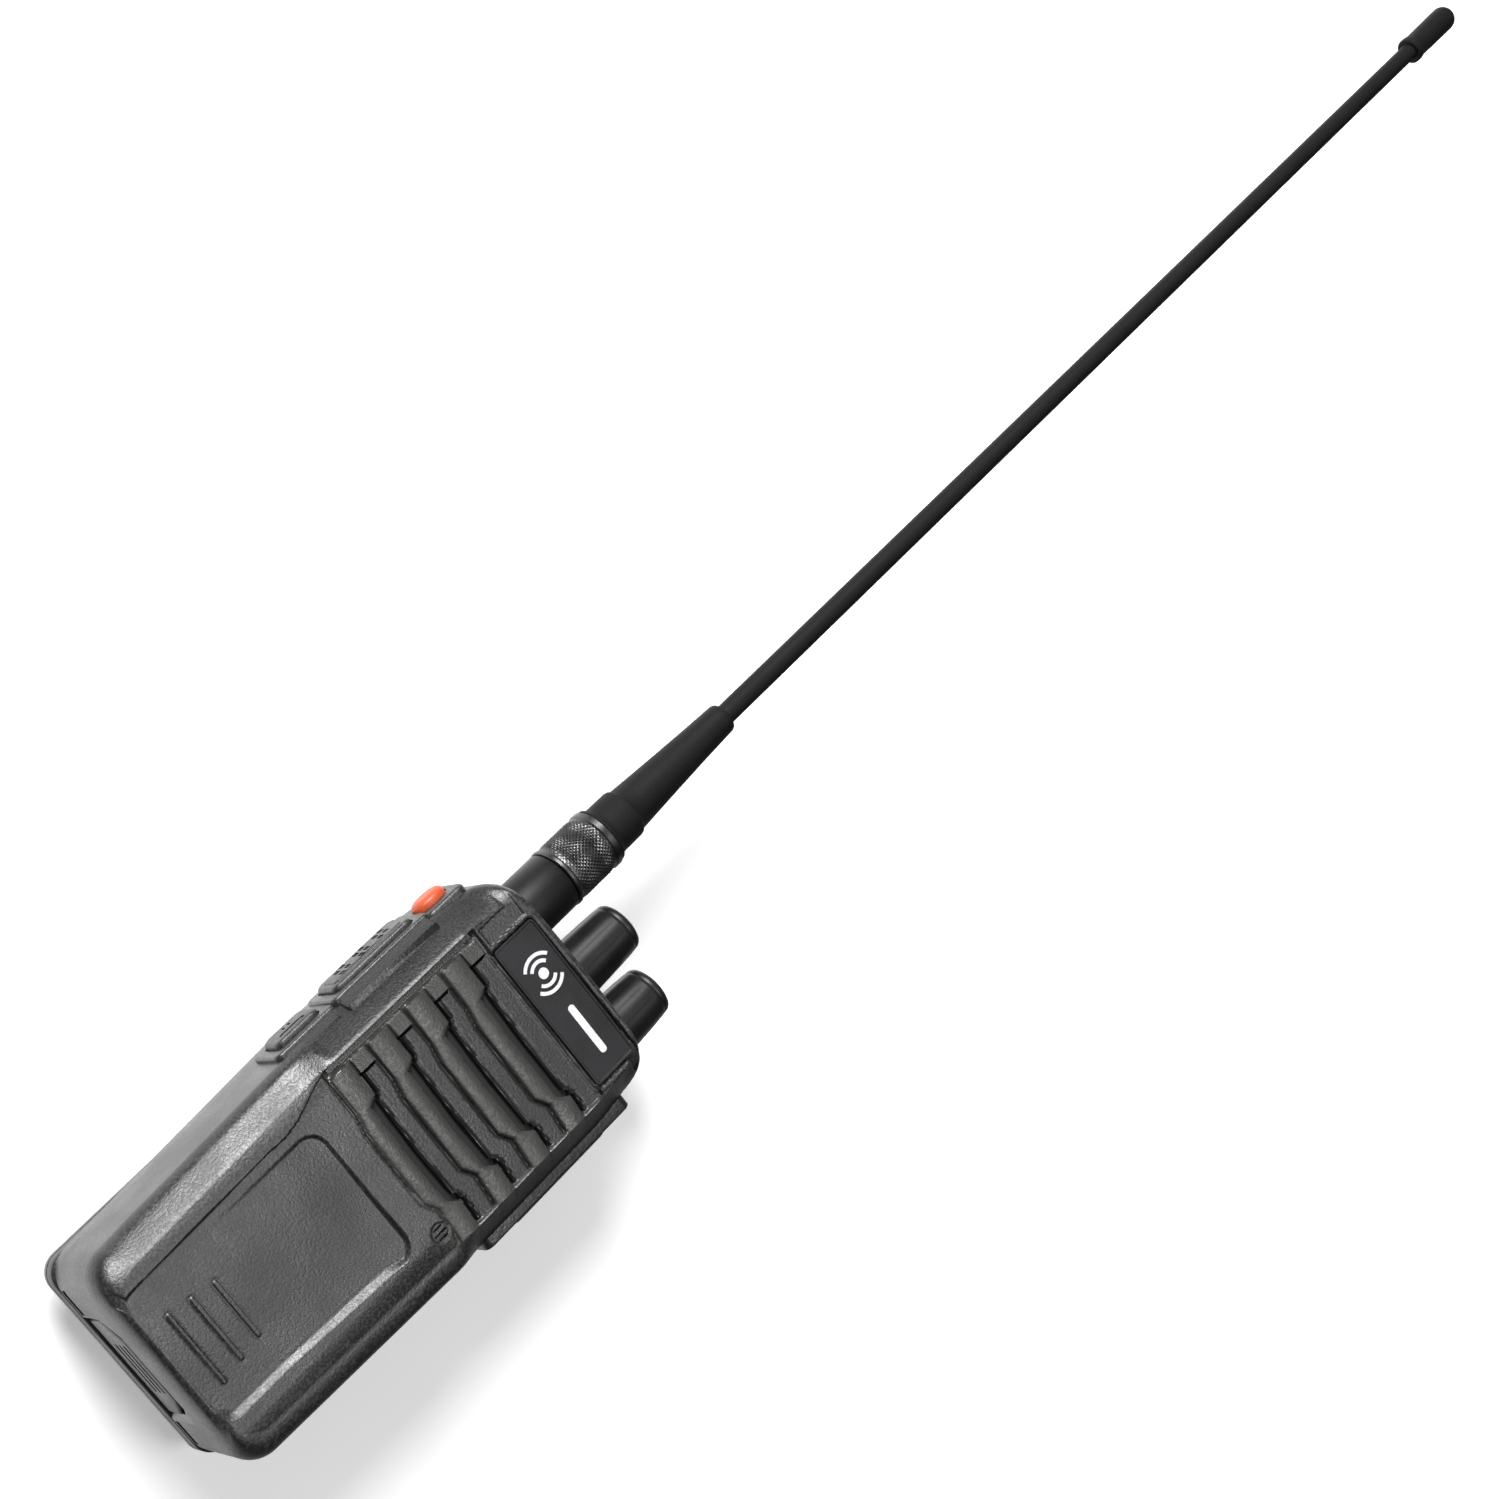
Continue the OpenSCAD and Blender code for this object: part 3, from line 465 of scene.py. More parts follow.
def wrap_material():
    n = Nodes("cell_wrap")
    band = n.noise(20.0, 2.0, 0.5)
    base = n.mix(n.spread(band, 0.0, 1.0), rgba(0.28, (0.5, 0.8, 1.0)), rgba(0.34, (0.5, 0.8, 1.0)))
    return n.finish(base, n.spread(n.noise(1.2, 3.0), 0.28, 0.4), n.bump(band, 0.2, 0.1))


BOARD = board_material()
CLOTH = cloth_material()
WRAP = wrap_material()

# The CAD nodes that are carried over, by the material that each takes
CARRIED_OVER = (
    (CLOTH, "grille_cloth"),
    (PAPER, "speaker_cone"),
    (SHIELD, "speaker_frame speaker_magnet microphone rf_shields volume_pot channel_switch side_switches"),
    (SEAL, "mic_boot chassis_gasket antenna_washer"),
    (BOARD, "main_board battery_board"),
    (CAST, "chassis"),
    (SPRING, "chassis_screws socket_nut control_nuts cover_hinge_pin clip_screws clip_pin clip_spring"),
    (SPRING, "latch_spring volume_shaft channel_shaft"),
    (BRASS, "antenna_socket antenna_contact battery_springs battery_terminals charging_contacts"),
    (LENS, "led_lens"),
    (KEYS, "side_keypad"),
    (JACK, "audio_jacks"),
    (CLIP, "clip_bracket"),
    (WRAP, "battery_cells"),
)
for material, node_names in CARRIED_OVER:
    for node_name in node_names.split():
        node = bpy.data.objects[node_name]
        node.data.materials.clear()
        node.data.materials.append(material)


# ---- the front shell ----


def sstep(a, b, v):
    t = np.clip((np.asarray(v, float) - a) / (b - a), 0, 1)
    return t * t * (3 - 2 * t)


def lump(v, centre, width):
    return np.exp(-(((v - centre) / width) ** 2))


def box_distance(x, z, x0, x1, z0, z1, r):
    """Signed distance to a rounded rectangle, negative inside."""
    qx = np.abs(x - (x0 + x1) / 2) - (x1 - x0) / 2 + r
    qz = np.abs(z - (z0 + z1) / 2) - (z1 - z0) / 2 + r
    return np.hypot(np.maximum(qx, 0), np.maximum(qz, 0)) + np.minimum(np.maximum(qx, qz), 0) - r


def inside(distance, soft):
    """1 inside, 0 outside, with a soft step about the edge."""
    return sstep(soft / 2, -soft / 2, distance)


def span(v, low, high, soft_low, soft_high):
    """1 from low to high, with a soft step at each."""
    return inside(low - v, soft_low) * inside(v - high, soft_high)


def half_width(z):
    """Widest at the waist, and narrower at the base and the top."""
    lower = BASE_HW + (WAIST_HW - BASE_HW) * np.clip(z / WAIST_Z, 0, 1)
    upper = WAIST_HW - (WAIST_HW - TOP_HW) * sstep(SHOULDER_Z - 4, BODY_H + 2, z)
    return np.minimum(lower, upper)


def edge_x(z, inset, z_low, z_high):
    """Half the outline's width at a height, with its rounded corners, when it is inset from full size."""
    w = half_width(z) - inset
    r = CORNER_R
    low = np.clip(z_low + r - z, 0, r)
    high = np.clip(z - (z_high - r), 0, r)
    fall = r - np.sqrt(np.maximum(r * r - low * low, 0)) + r - np.sqrt(np.maximum(r * r - high * high, 0))
    return w - fall


def outline_map(s, t, section):
    """A point of a section's outline region: s from -1 to 1 across, t from 0 to 1 up."""
    depth, inset, low, high = section
    z = low + t * (BODY_H - high - low)
    x = s * edge_x(z, inset, low, BODY_H - high)
    crown = 0.8 * sstep(100, BODY_H, z) * (x / TOP_HW) ** 2
    return x, z - crown


GRILLE_Z = 69.0
GRILLE_PITCH = 11.6
ROWS = 4
FIELD_X0 = -24.3
FIELD_X1 = 25.7
CHANNEL_X1 = -22.4
SLAT_X0 = -18.2
SLAT_X1 = 24.4
SLOT_X1 = 23.8
FIELD_Z1 = 112.0
FACE = 0.2
SLAT = 1.05
RIB = 0.12
CHANNEL = 1.75


def slot_line(x, row):
    """Height of the lower edge of a grille slot, with its two jogs."""
    jog = 15.4 + 0.45 * row
    line = np.interp(
        x,
        [FIELD_X0, -12.9, -11.4, 3.0, jog, jog + 2.4, FIELD_X1],
        [2.6, 2.5, 0.0, -0.5, -0.35, 2.35, 1.7],
    )
    return GRILLE_Z + row * GRILLE_PITCH + line


def rib_line(x, row):
    """Height of the lower edge of the rib under a slot."""
    jog = 12.4 + 0.45 * row
    line = np.interp(
        x,
        [FIELD_X0, -12.4, -7.3, jog, jog + 3.4, FIELD_X1],
        [-3.5, -3.6, -4.6, -4.9, -3.0, -3.9],
    )
    return GRILLE_Z + row * GRILLE_PITCH + line


def rib_above(x, row):
    """Height of the lower edge of the next rib up, or of the top of the grille."""
    return rib_line(x, row + 1) if row + 1 < ROWS else np.full_like(x, FIELD_Z1)


CURVE_Z = [2.0, 5.0, 45.0, 50.2, 54.5, 58.5, 63.4, 66.5]
CURVE_X = [-18.6, -19.1, -20.1, -19.9, -20.6, -21.9, -23.6, -24.3]


def panel_left(z):
    return np.interp(z, CURVE_Z, CURVE_X)


def panel_right(z):
    return np.interp(z, [2.0, 5.0, 19.5, 52.0, 56.8], [15.4, 16.5, 16.7, 18.7, 18.9])


LABEL_BOX = (-17.0, 22.3, 112.6, 125.2)
MIC = (19.6, 63.0)


def front_depth(x, z):
    """Depth of the front face behind the foremost plane, at x and z."""
    depth = np.full_like(x, FACE)

    # The face falls away towards both sides below the grille
    below = sstep(70.0, 60.0, z)
    depth += 1.5 * (np.clip(-19.8 - x, 0, 6) / 5.2) ** 1.5 * below
    depth += 1.2 * (np.clip(x - 19.2, 0, 6) / 5.6) ** 1.5 * below

    # Grille field: slats sunk between the frame, with ribs standing up from them
    field_low = rib_line(x, 0)
    field = span(x, FIELD_X0, SLAT_X1, 0.5, 0.7)
    field *= inside(field_low - z, 0.5) * inside(z - FIELD_Z1 - 0.2, 0.5)
    depth += (SLAT - FACE) * field
    for row in range(ROWS):
        low, high = rib_line(x, row), slot_line(x, row)
        centre = np.clip((z - low) / np.maximum(high - low, 0.1), 0, 1)
        crown = 0.32 * (2 * centre - 1) ** 2
        rib = span(z, low, high, 0.55, 0.3)
        ends = inside(CHANNEL_X1 - x + 0.4 * (2 * centre - 1) ** 2, 0.55) * inside(x - FIELD_X1 - 0.6, 1.2)
        depth += rib * ends * (RIB + crown - depth)
        # The soft groove where the rib meets the slat below it
        across = span(x, FIELD_X0, SLAT_X1, 0.4, 0.6)
        depth += 0.22 * lump(z, low - 0.35, 0.35) * across
        # The tab at the left end, ramping up towards the slat
        next_low = rib_above(x, row)
        tab = span(x, CHANNEL_X1 + 0.1, SLAT_X0, 0.35, 0.35)
        tab *= inside(high + 0.35 - z, 0.35) * inside(z - next_low + 0.6, 0.35)
        ramp = SLAT - 0.45 - 0.3 * sstep(-22.6, -19.2, x)
        depth += tab * (ramp - depth)
        # Slot: narrow at the ends and wide between the jogs
        jog = 15.4 + 0.45 * row
        wide = sstep(-12.9, -11.6, x) * (1 - sstep(jog + 0.6, jog + 2.2, x))
        width = 0.6 + 1.25 * wide
        along = span(x, SLAT_X0, SLOT_X1, 0.3, 0.3)
        slot = inside(high - z, 0.22) * inside(z - high - width, 0.22) * along
        depth += slot * (0.95 + 2.4 * wide)
        # The slat's lower lip
        depth -= 0.42 * lump(z, high + width + 0.42, 0.3) * along
        depth += 0.2 * lump(z, high + width + 1.0, 0.28) * along
        # The short upright part of the slot beside the tab
        stub = inside(np.abs(x - SLAT_X0 - 0.1) - 0.25, 0.25)
        depth += 0.9 * stub * inside(high - z, 0.3) * inside(z - next_low + 1.2, 0.5)

    # Frame strip to the right of the slats
    strip = inside(np.abs(x - FIELD_X1 - 0.1) - 0.3, 0.5) * span(z, 68.0, 124.0, 2.0, 1.0)
    depth -= 0.1 * strip

    # Ridge that bounds the field on the left
    beside = span(z, 66.0, 124.5, 2.0, 0.6)
    depth -= 0.14 * lump(x, FIELD_X0 - 0.15, 0.4) * beside
    channel = inside(FIELD_X0 + 0.15 - x, 0.25) * inside(x - CHANNEL_X1 + 0.35, 0.35)
    channel *= inside(field_low + 0.6 - z, 0.6) * inside(z - FIELD_Z1 + 0.4, 0.5)
    depth += (CHANNEL - depth) * channel

    # Small panel to the left of the label
    mini = box_distance(x, z, -23.2, -18.5, 113.2, 124.2, 0.5)
    depth += 0.4 * inside(mini, 0.35)

    # Label recess with its raised rim
    x0, x1, z0, z1 = LABEL_BOX
    tilt = 0.8 * (x - (x0 + x1) / 2) / (x1 - x0)
    edge = box_distance(x, z - tilt * sstep(z0, z1, z), x0 - 0.4, x1 + 0.4, z0 - 0.4, z1 + 0.3, 1.2)
    depth -= 0.2 * lump(edge, 0.75, 0.42)
    depth += 1.25 * inside(edge, 0.25)

    # Lower panel: a shallow step along its S-shaped left edge, fading out to the right
    left = panel_left(z)
    panel = inside(left - x, 0.55) * inside(z - rib_line(x, 0) + 0.3, 0.6)
    fade = 1 - sstep(-2.0, 19.0, x) * sstep(40.0, 58.0, z)
    depth += 0.6 * panel * fade * inside(x - panel_right(z) + 0.8 * sstep(56, 50, z), 2.2)

    # Deeper window in the lower panel, with a broad wall on the right
    open_z = z + 4.0 * sstep(15.0, 9.0, x) * sstep(20.0, 8.0, z)
    window = np.maximum(box_distance(x, open_z, -17.4, 19.0, 2.6, 56.8, 5.0), x - panel_right(z))
    window = np.maximum(window, -17.3 - x - 1.6 * (1 - z / 56.0))
    broad = sstep(6.0, 14.0, x) * sstep(55.0, 46.0, z)
    soft = 0.9 + 2.6 * broad
    sink = 0.25 * sstep(20.0, 50.0, z) + 0.75 * sstep(-14.0, 15.0, x) + 0.3 * sstep(44.0, 56.0, z)
    depth += sink * inside(window + soft * 0.35, soft)

    # Three raised lines
    for i in range(3):
        line = box_distance(x, z, -10.3 + i, 9.3 - i, 7.3 + 5.8 * i, 8.3 + 5.8 * i, 0.5)
        depth -= 0.24 * inside(line, 0.2) - 0.1 * lump(line, 0.3, 0.2)

    # Shallow dish around the microphone slots
    dish = np.hypot(x - MIC[0], z - MIC[1]) - 2.3
    depth += 0.25 * inside(dish, 0.4)
    return depth


ROLL_INSET = 6.2
ROLL_DEPTH = 8.0
BESIDE_GRILLE = 0.85
LOWER_LEFT = 0.6


def roll_sections(steps):
    """Sections from the front face back, each its depth and its insets at the sides, base and top."""
    out = []
    for i in range(steps + 1):
        a = math.pi / 2 * i / steps
        depth = FACE + (ROLL_DEPTH - FACE) * (1 - math.cos(a)) ** 1.15
        inset = ROLL_INSET * (1 - math.sin(a)) ** 1.05
        share = inset / ROLL_INSET
        out.append((depth, inset, 2.5 * share, 1.0 * share))
    for depth in (12.0, 18.0, 24.0, SHELL_D - 0.5):
        out.append((depth, 0.0, 0.0, 0.0))
    out.append((SHELL_D, 0.25, 0.25, 0.25))
    return out


def shell_skin():
    """The outer skin: the front face as a height field, then rings down the rolled edge and the sides."""
    step = 0.25
    sections = roll_sections(14)
    nx, nz = int(50 / step), int(124 / step)
    s = np.linspace(-1, 1, nx + 1)
    t = np.linspace(0, 1, nz + 1)
    ss, tt = np.meshgrid(s, t)
    x, z = outline_map(ss, tt, sections[0])
    d = front_depth(x, z)
    points = [np.stack([x, d, z], -1).reshape(-1, 3)]
    index = np.arange((nx + 1) * (nz + 1)).reshape(nz + 1, nx + 1)
    a, b, c, e = index[:-1, :-1], index[:-1, 1:], index[1:, 1:], index[1:, :-1]
    faces = np.stack([a, b, c, e], -1).reshape(-1, 4).tolist()
    loop = np.concatenate([index[0, :-1], index[:-1, -1], index[-1, :0:-1], index[:0:-1, 0]])
    ls, lt = ss.reshape(-1)[loop], tt.reshape(-1)[loop]
    ring = loop
    start = index.size
    edge_depth = d.reshape(-1)[loop]
    for section in sections[1:]:
        rx, rz = outline_map(ls, lt, section)
        # Relief at the face's edge dies away down the rounded edge
        relief = (edge_depth - FACE) * max(0.0, 1 - section[0] / 2.5)
        straight = FACE + (ROLL_DEPTH - FACE) * (1 - section[1] / ROLL_INSET)
        # The sides are nearly a straight chamfer beside the grille, and the left one half so below it
        beside = BESIDE_GRILLE * sstep(62.0, 71.0, rz)
        left = LOWER_LEFT * (ls < 0) * sstep(-3.0, 14.0, rz)
        chamfer = sstep(0.96, 1.0, np.abs(ls)) * np.maximum(beside, left) * sstep(126.0, 119.0, rz)
        depth = section[0] + chamfer * max(0.0, straight - section[0])
        points.append(np.stack([rx, depth + relief, rz], -1))
        new = np.arange(start, start + len(loop))
        start += len(loop)
        nxt = np.roll(np.arange(len(loop)), -1)
        faces += np.stack([ring, new, new[nxt], ring[nxt]], -1).tolist()
        ring = new
    faces.append(ring.tolist())
    return outward(mesh_object("front_shell_skin", np.concatenate(points), faces))


def outline_loop(section):
    """A section's outline as one loop, for simple lofts."""
    n = 40
    t = np.linspace(0, 1, n)
    s = np.linspace(-1, 1, n // 2)
    ls = np.concatenate([s[:-1], np.ones(n - 1), s[:0:-1], -np.ones(n - 1)])
    lt = np.concatenate([np.zeros(len(s) - 1), t[:-1], np.ones(len(s) - 1), t[:0:-1]])
    x, z = outline_map(ls, lt, section)
    return np.stack([x, np.full_like(x, section[0]), z], -1)


# Places on the shell: _Z and _D are ranges or centres up from the base and back from the front
GAP = 0.3
KEY_INNER_X = WAIST_HW - 1.7
PTT_Z = (82.0, 106.5)
MONITOR_Z = (64.5, 77.0)
ALARM_Z = 113.8
ALARM_D = 14.5
ALARM_HALF = (3.4, 4.6)
KEY_D = (9.5, 20.5)
RAIL_Z = (71.0, 119.0)
COVER_Z = (80.0, 111.0)
COVER_D = (9.6, 20.1)
HINGE = (SIDE_HW - 1.1, 21.4)
JACK_D = 14.0
JACKS = ((89.0, 2.6), (101.0, 3.4))
LED = ((ANTENNA_X + VOLUME_X) / 2, AXIS_D - 7.5)
LATCH_HW = 13.5
LATCH_D0 = 15.5
LATCH_TRAVEL = 1.8


def latch_outline(grow, back):
    w, d = LATCH_HW + grow, LATCH_D0 - grow
    return [(-w, back), (-w, d + 5), (-w + 4.6, d), (w - 4.6, d), (w, d + 5), (w, back)]


def front_shell():
    shell = shell_skin()

    # Raised banks round the side keys, with a strip along the front of each
    add(shell, side_pad("bank", (7.2, 22.5), (79.2, 109.4), 1.6, -29.5, -32.7, 0.7))
    add(shell, side_pad("bank_low", (7.8, 22.2), (61.8, 80.0), 1.8, -29.5, -32.0, 0.7))
    add(shell, side_pad("bank_top", (7.6, 22.2), (108.5, 120.6), 2.2, -28.5, -31.9, 1.0))
    for low, high, outer, front in ((80.4, 108.4, 32.7, 4.4), (63.4, 78.2, 32.0, 5.2)):
        back = KEY_D[0] - 0.5
        strip = [(-28, front), (-outer + 2.3, front), (-outer + 0.15, front + 3.7), (-outer, front + 4.1),
                 (-outer, back), (-28, back)]
        levels = ((low, 0.5), (low + 0.5, 0.0), (high - 0.5, 0.0), (high, 0.5))
        loops = [[(x + inset, d + 0.6 * inset, z) for x, d in strip] for z, inset in levels]
        add(shell, loft("strip", loops))

    # The rail on the other side, with the knuckles of the jack cover's hinge
    add(shell, side_pad("rail", (7.5, COVER_D[1]), RAIL_Z, 2.0, 29.5, SIDE_HW - 1.2, 0.5))
    for z in (COVER_Z[0] + 0.2, COVER_Z[1] - 3.6):
        top = z + 3.4
        behind = (HINGE[1] - 0.8, HINGE[1] + 0.8)
        web = pad("web", "z", (WAIST_HW - 1, HINGE[0]), behind, 0.1, [(z, 0), (top, 0)], 2)
        add(shell, web)
        add(shell, disc("knuckle", *HINGE, 0.95, z, top, 24))

    # Hollowed from behind, then opened for the keys, jacks, controls, lens and microphone
    sections = (
        (WALL + 0.3, 7.2, 5.0, 3.4), (6.0, 3.6, 2.8, 2.5), (10.0, WALL, WALL, WALL),
        (SHELL_D + 1, WALL, WALL, WALL),
    )
    cut(shell, loft("cavity", [outline_loop(section) for section in sections]))
    reach = (-SIDE_HW - 1, -KEY_INNER_X + 2)
    for (z0, z1), trim in ((PTT_Z, 0), (MONITOR_Z, 1)):
        deep = (KEY_D[0] + trim - GAP, KEY_D[1] - trim + GAP)
        cut(shell, pad("hole", "x", deep, (z0 - GAP, z1 + GAP), 2, [(x, 0) for x in reach]))
    oval = ellipse(ALARM_HALF[0] + GAP, ALARM_HALF[1] + GAP, ALARM_D, ALARM_Z)
    cut(shell, loft("hole", [lifted(oval, "x", x) for x in reach]))
    for z, r in JACKS:
        cut(shell, side_rod("hole", JACK_D, z, r, WAIST_HW - WALL - 1, SIDE_HW))
    for x in (ANTENNA_X, VOLUME_X, CHANNEL_X):
        cut(shell, disc("hole", x, AXIS_D, 4.25, BODY_H - WALL - 5, BODY_H + 1))
    cut(shell, disc("hole", *LED, 1.25, BODY_H - WALL - 1, BODY_H + 1, 24))
    for i in range(-1, 2):
        u, half = MIC[0] + 1.25 * i, 1.75 - 0.45 * abs(i)
        across, high = (u - 0.24, u + 0.24), (MIC[1] - half, MIC[1] + half)
        cut(shell, pad("hole", "y", across, high, 0.2, [(-1, 0), (WALL + 4, 0)], 4))

    # The latch's notch in the base, with a chamfered edge, and a pry slit at each end of it
    levels = []
    for z, grow in ((-1.0, GAP + 1.2), (0.0, GAP + 1.2), (1.1, GAP), (WALL + 1, GAP)):
        notch = latch_outline(grow, SHELL_D + 2)
        levels.append(lifted([(x, d if d > SHELL_D else d - LATCH_TRAVEL) for x, d in notch], "z", z))
    cut(shell, loft("hole", levels))
    for x0 in (-22.5, 15.5):
        cut(shell, box("slit", (x0, 25.0, -1.0), (x0 + 7.0, 27.0, 1.3)))
    return shell


def tone_and_shade_of(obj):
    """A tone for each point of the front shell, above 0 where it is paler and below 0 where painted shade
    darkens it.
    """
    co = np.empty(len(obj.data.vertices) * 3)
    obj.data.vertices.foreach_get("co", co)
    co = co.reshape(-1, 3) / MM
    x, d, z = co[:, 0], co[:, 1] + TOTAL_D / 2, co[:, 2]

    # Ribs and tabs are paler
    pale = np.zeros(len(x))
    for row in range(ROWS):
        low, high = rib_line(x, row), slot_line(x, row)
        rib = span(z, low, high, 0.6, 0.4)
        rib *= span(x, FIELD_X0, FIELD_X1, 0.6, 1.5)
        tab = span(x, CHANNEL_X1, SLAT_X0, 0.3, 0.3)
        tab *= inside(high - z, 0.3) * inside(z - rib_above(x, row), 0.3)
        pale = np.maximum(pale, np.maximum(rib, 0.5 * tab) * (d < 1.6))

    # Painted shade: the slats and slots sunk in the grille, the band beside the grille, and the rolled
    # edges at the right and the base are darker, the slats partly for their own bluer tone too
    slat = span(x, SLAT_X0, SLAT_X1, 0.4, 0.6)
    slat *= inside(slot_line(x, 0) - z, 0.6) * inside(z - FIELD_Z1, 0.6)
    tone_and_shade = np.where(pale > 0.3, pale, -slat * (d < 3.2))
    # Painted shade on the band beside the grille
    band = sstep(FIELD_X0 - 0.7, FIELD_X0 - 1.4, x) * sstep(7.5, 6.0, d) * sstep(64.0, 70.0, z)
    tone_and_shade = np.where(band > 0.02, -band, tone_and_shade)
    # Painted shade on the rolled edges at the right and the base
    right_or_base = np.maximum(inside(25.5 - x, 1.5), inside(z - 7.0, 2.0))
    roll = inside(2.4 - d, 1.2) * inside(d - 8.0, 1.5) * right_or_base
    tone_and_shade = np.where(roll > 0.02, -roll, tone_and_shade)
    layer = obj.data.attributes.new("tone_and_shade", "FLOAT", "POINT")
    layer.data.foreach_set("value", tone_and_shade.astype(np.float32))


shell = front_shell()
tone_and_shade_of(shell)
smooth(shell, 38)
place(shell, "housing", SHELL, "shell_plastic", "front_shell")
shell.name = "front_shell_moulding"


# ---- label ----


def label():
    """A film in its recess, with a slightly dished face."""
    x0, x1, z0, z1 = LABEL_BOX
    levels = [(1.3, 0.0), (0.62, 0.0), (0.5, 0.12), (0.5, 0.5), (0.62, 0.62), (0.68, 0.68)]
    plate = pad("label_film", "y", (x0, x1), (z0, z1), 1.0, levels, 6)
    return place(smooth(plate, 12), "housing", LABEL, "label_gloss", "label_plate")


def arc_band(cx, cz, r, w, a0, a1, n=20):
    """The outline of an arc of width w, from one angle to another."""
    angles = [math.radians(a0 + (a1 - a0) * i / n) for i in range(n + 1)]
    outer = [(cx + (r + w / 2) * math.cos(a), cz + (r + w / 2) * math.sin(a)) for a in angles]
    inner = [(cx + (r - w / 2) * math.cos(a), cz + (r - w / 2) * math.sin(a)) for a in reversed(angles)]
    return outer + inner


def label_print():
    """A generic mark: a dot between two pairs of arcs, and one plain stripe."""
    cx, cz = -5.6, 119.2
    loops = [ellipse(1.3, 1.3, cx, cz, 32)]
    for r in (2.9, 4.6):
        loops.append(arc_band(cx, cz, r, 0.85, -52, 52))
        loops.append(arc_band(cx, cz, r, 0.85, 128, 232))
    loops.append(rounded_loop(4.0, 17.6, cz - 0.9, cz + 0.9, 0.85, 6))
    ink = [loft("ink", [lifted(loop, "y", d) for d in (0.70, 0.64)]) for loop in loops]
    return place(joined("label_print", ink), "housing", PRINT, "label_gloss")


label()
label_print()


# ---- side keys ----


def arch(obj, z, rise, x_in):
    """Drops the ends of a key's outer face, so that it is highest at the middle."""
    middle, half = (z[0] + z[1]) / 2 * MM, (z[1] - z[0]) / 2 * MM
    for v in obj.data.vertices:
        share = max(0.0, (-v.co.x / MM - x_in) / (SIDE_HW - x_in))
        v.co.x += rise * MM * share * ((v.co.z - middle) / half) ** 2


def talk_key():
    z0, z1 = PTT_Z
    middle = (z0 + z1) / 2
    levels = rounded_levels(-KEY_INNER_X, -SIDE_HW + 0.3, 0.9, 6)
    key = pad("talk_key_cap", "x", KEY_D, PTT_Z, 2.0, levels, 10)
    levels = rounded_levels(-SIDE_HW + 0.9, -SIDE_HW + 0.06, 0.35, 4)
    raised = pad("rise", "x", (KEY_D[0] + 1.5, KEY_D[1] - 1.5), (z0 + 1.6, z1 - 1.6), 1.6, levels)
    add(key, raised)

    # Three groups of four sunk dashes, each with a dark box on its floor as painted shade
    dash_shades = []
    for group in (4.6, 10.6, 16.6):
        for j in range(2):
            for i in range(2):
                d, z = 12.0 + 3.1 * i + 0.7 * j, z0 + group + 2.1 * j
                cut(key, box("dash", (-SIDE_HW - 0.5, d, z), (-SIDE_HW + 1.3, d + 2.2, z + 1.35)))
                # A dark box on the dash's floor: painted shade
                corners = (-SIDE_HW + 0.35, d - 0.05, z - 0.05), (-SIDE_HW + 1.4, d + 2.25, z + 1.4)
                dash_shades.append(box("mark", *corners))
    place(joined("talk_key_marks", dash_shades), "talk_key", SEAL, "seal_rubber")
    levels = [(-KEY_INNER_X - 0.2, 0), (-29.1, 0)]
    add(key, pad("plunger", "x", (14, 16), (middle - 1, middle + 1), 0.5, levels, 4))
    arch(key, PTT_Z, 0.3, KEY_INNER_X)
    return place(smooth(key, 35), "talk_key", KEYS, "key_rubber", "ptt_button")


def monitor_key():
    z0, z1 = MONITOR_Z
    levels = rounded_levels(-KEY_INNER_X, -SIDE_HW + 1.0, 0.8, 6)
    key = pad("monitor_key_cap", "x", (KEY_D[0] + 1, KEY_D[1] - 1), MONITOR_Z, 2.0, levels, 10)

    # An oval groove round a raised tongue, and two dashes behind it
    levels = [(-SIDE_HW, 0), (-SIDE_HW + 1.6, 0)]
    cut(key, pad("groove", "x", (12.0, 14.0), (z0 + 2.6, z1 - 2.6), 1.0, levels, 6))
    levels = rounded_levels(-SIDE_HW + 2.2, -SIDE_HW + 1.15, 0.3, 4)
    add(key, pad("tongue", "x", (12.35, 13.65), (z0 + 2.95, z1 - 2.95), 0.65, levels, 6))
    for i in range(2):
        z = z0 + 5 + 1.6 * i
        cut(key, box("dash", (-SIDE_HW, 15.4, z), (-SIDE_HW + 1.35, 16.9, z + 0.7)))
    arch(key, MONITOR_Z, 0.25, KEY_INNER_X)
    return place(smooth(key, 35), "monitor_key", KEYS, "key_rubber", "monitor_button")


def alarm_key():
    loops = [lifted(ellipse(*ALARM_HALF, ALARM_D, ALARM_Z), "x", -KEY_INNER_X)]
    steps = 8
    for i in range(steps + 1):
        a = math.pi / 2 * i / steps
        shrink = 1 - math.cos(a)
        half = ALARM_HALF[0] * (1 - 0.55 * shrink), ALARM_HALF[1] * (1 - 0.45 * shrink)
        loops.append(lifted(ellipse(*half, ALARM_D, ALARM_Z), "x", -SIDE_HW + 1.9 - 1.48 * math.sin(a)))
    key = loft("alarm_key_cap", loops)
    return place(smooth(key, 50), "alarm_key", ORANGE, "orange_rubber", "alarm_button")


talk_key()
monitor_key()
alarm_key()


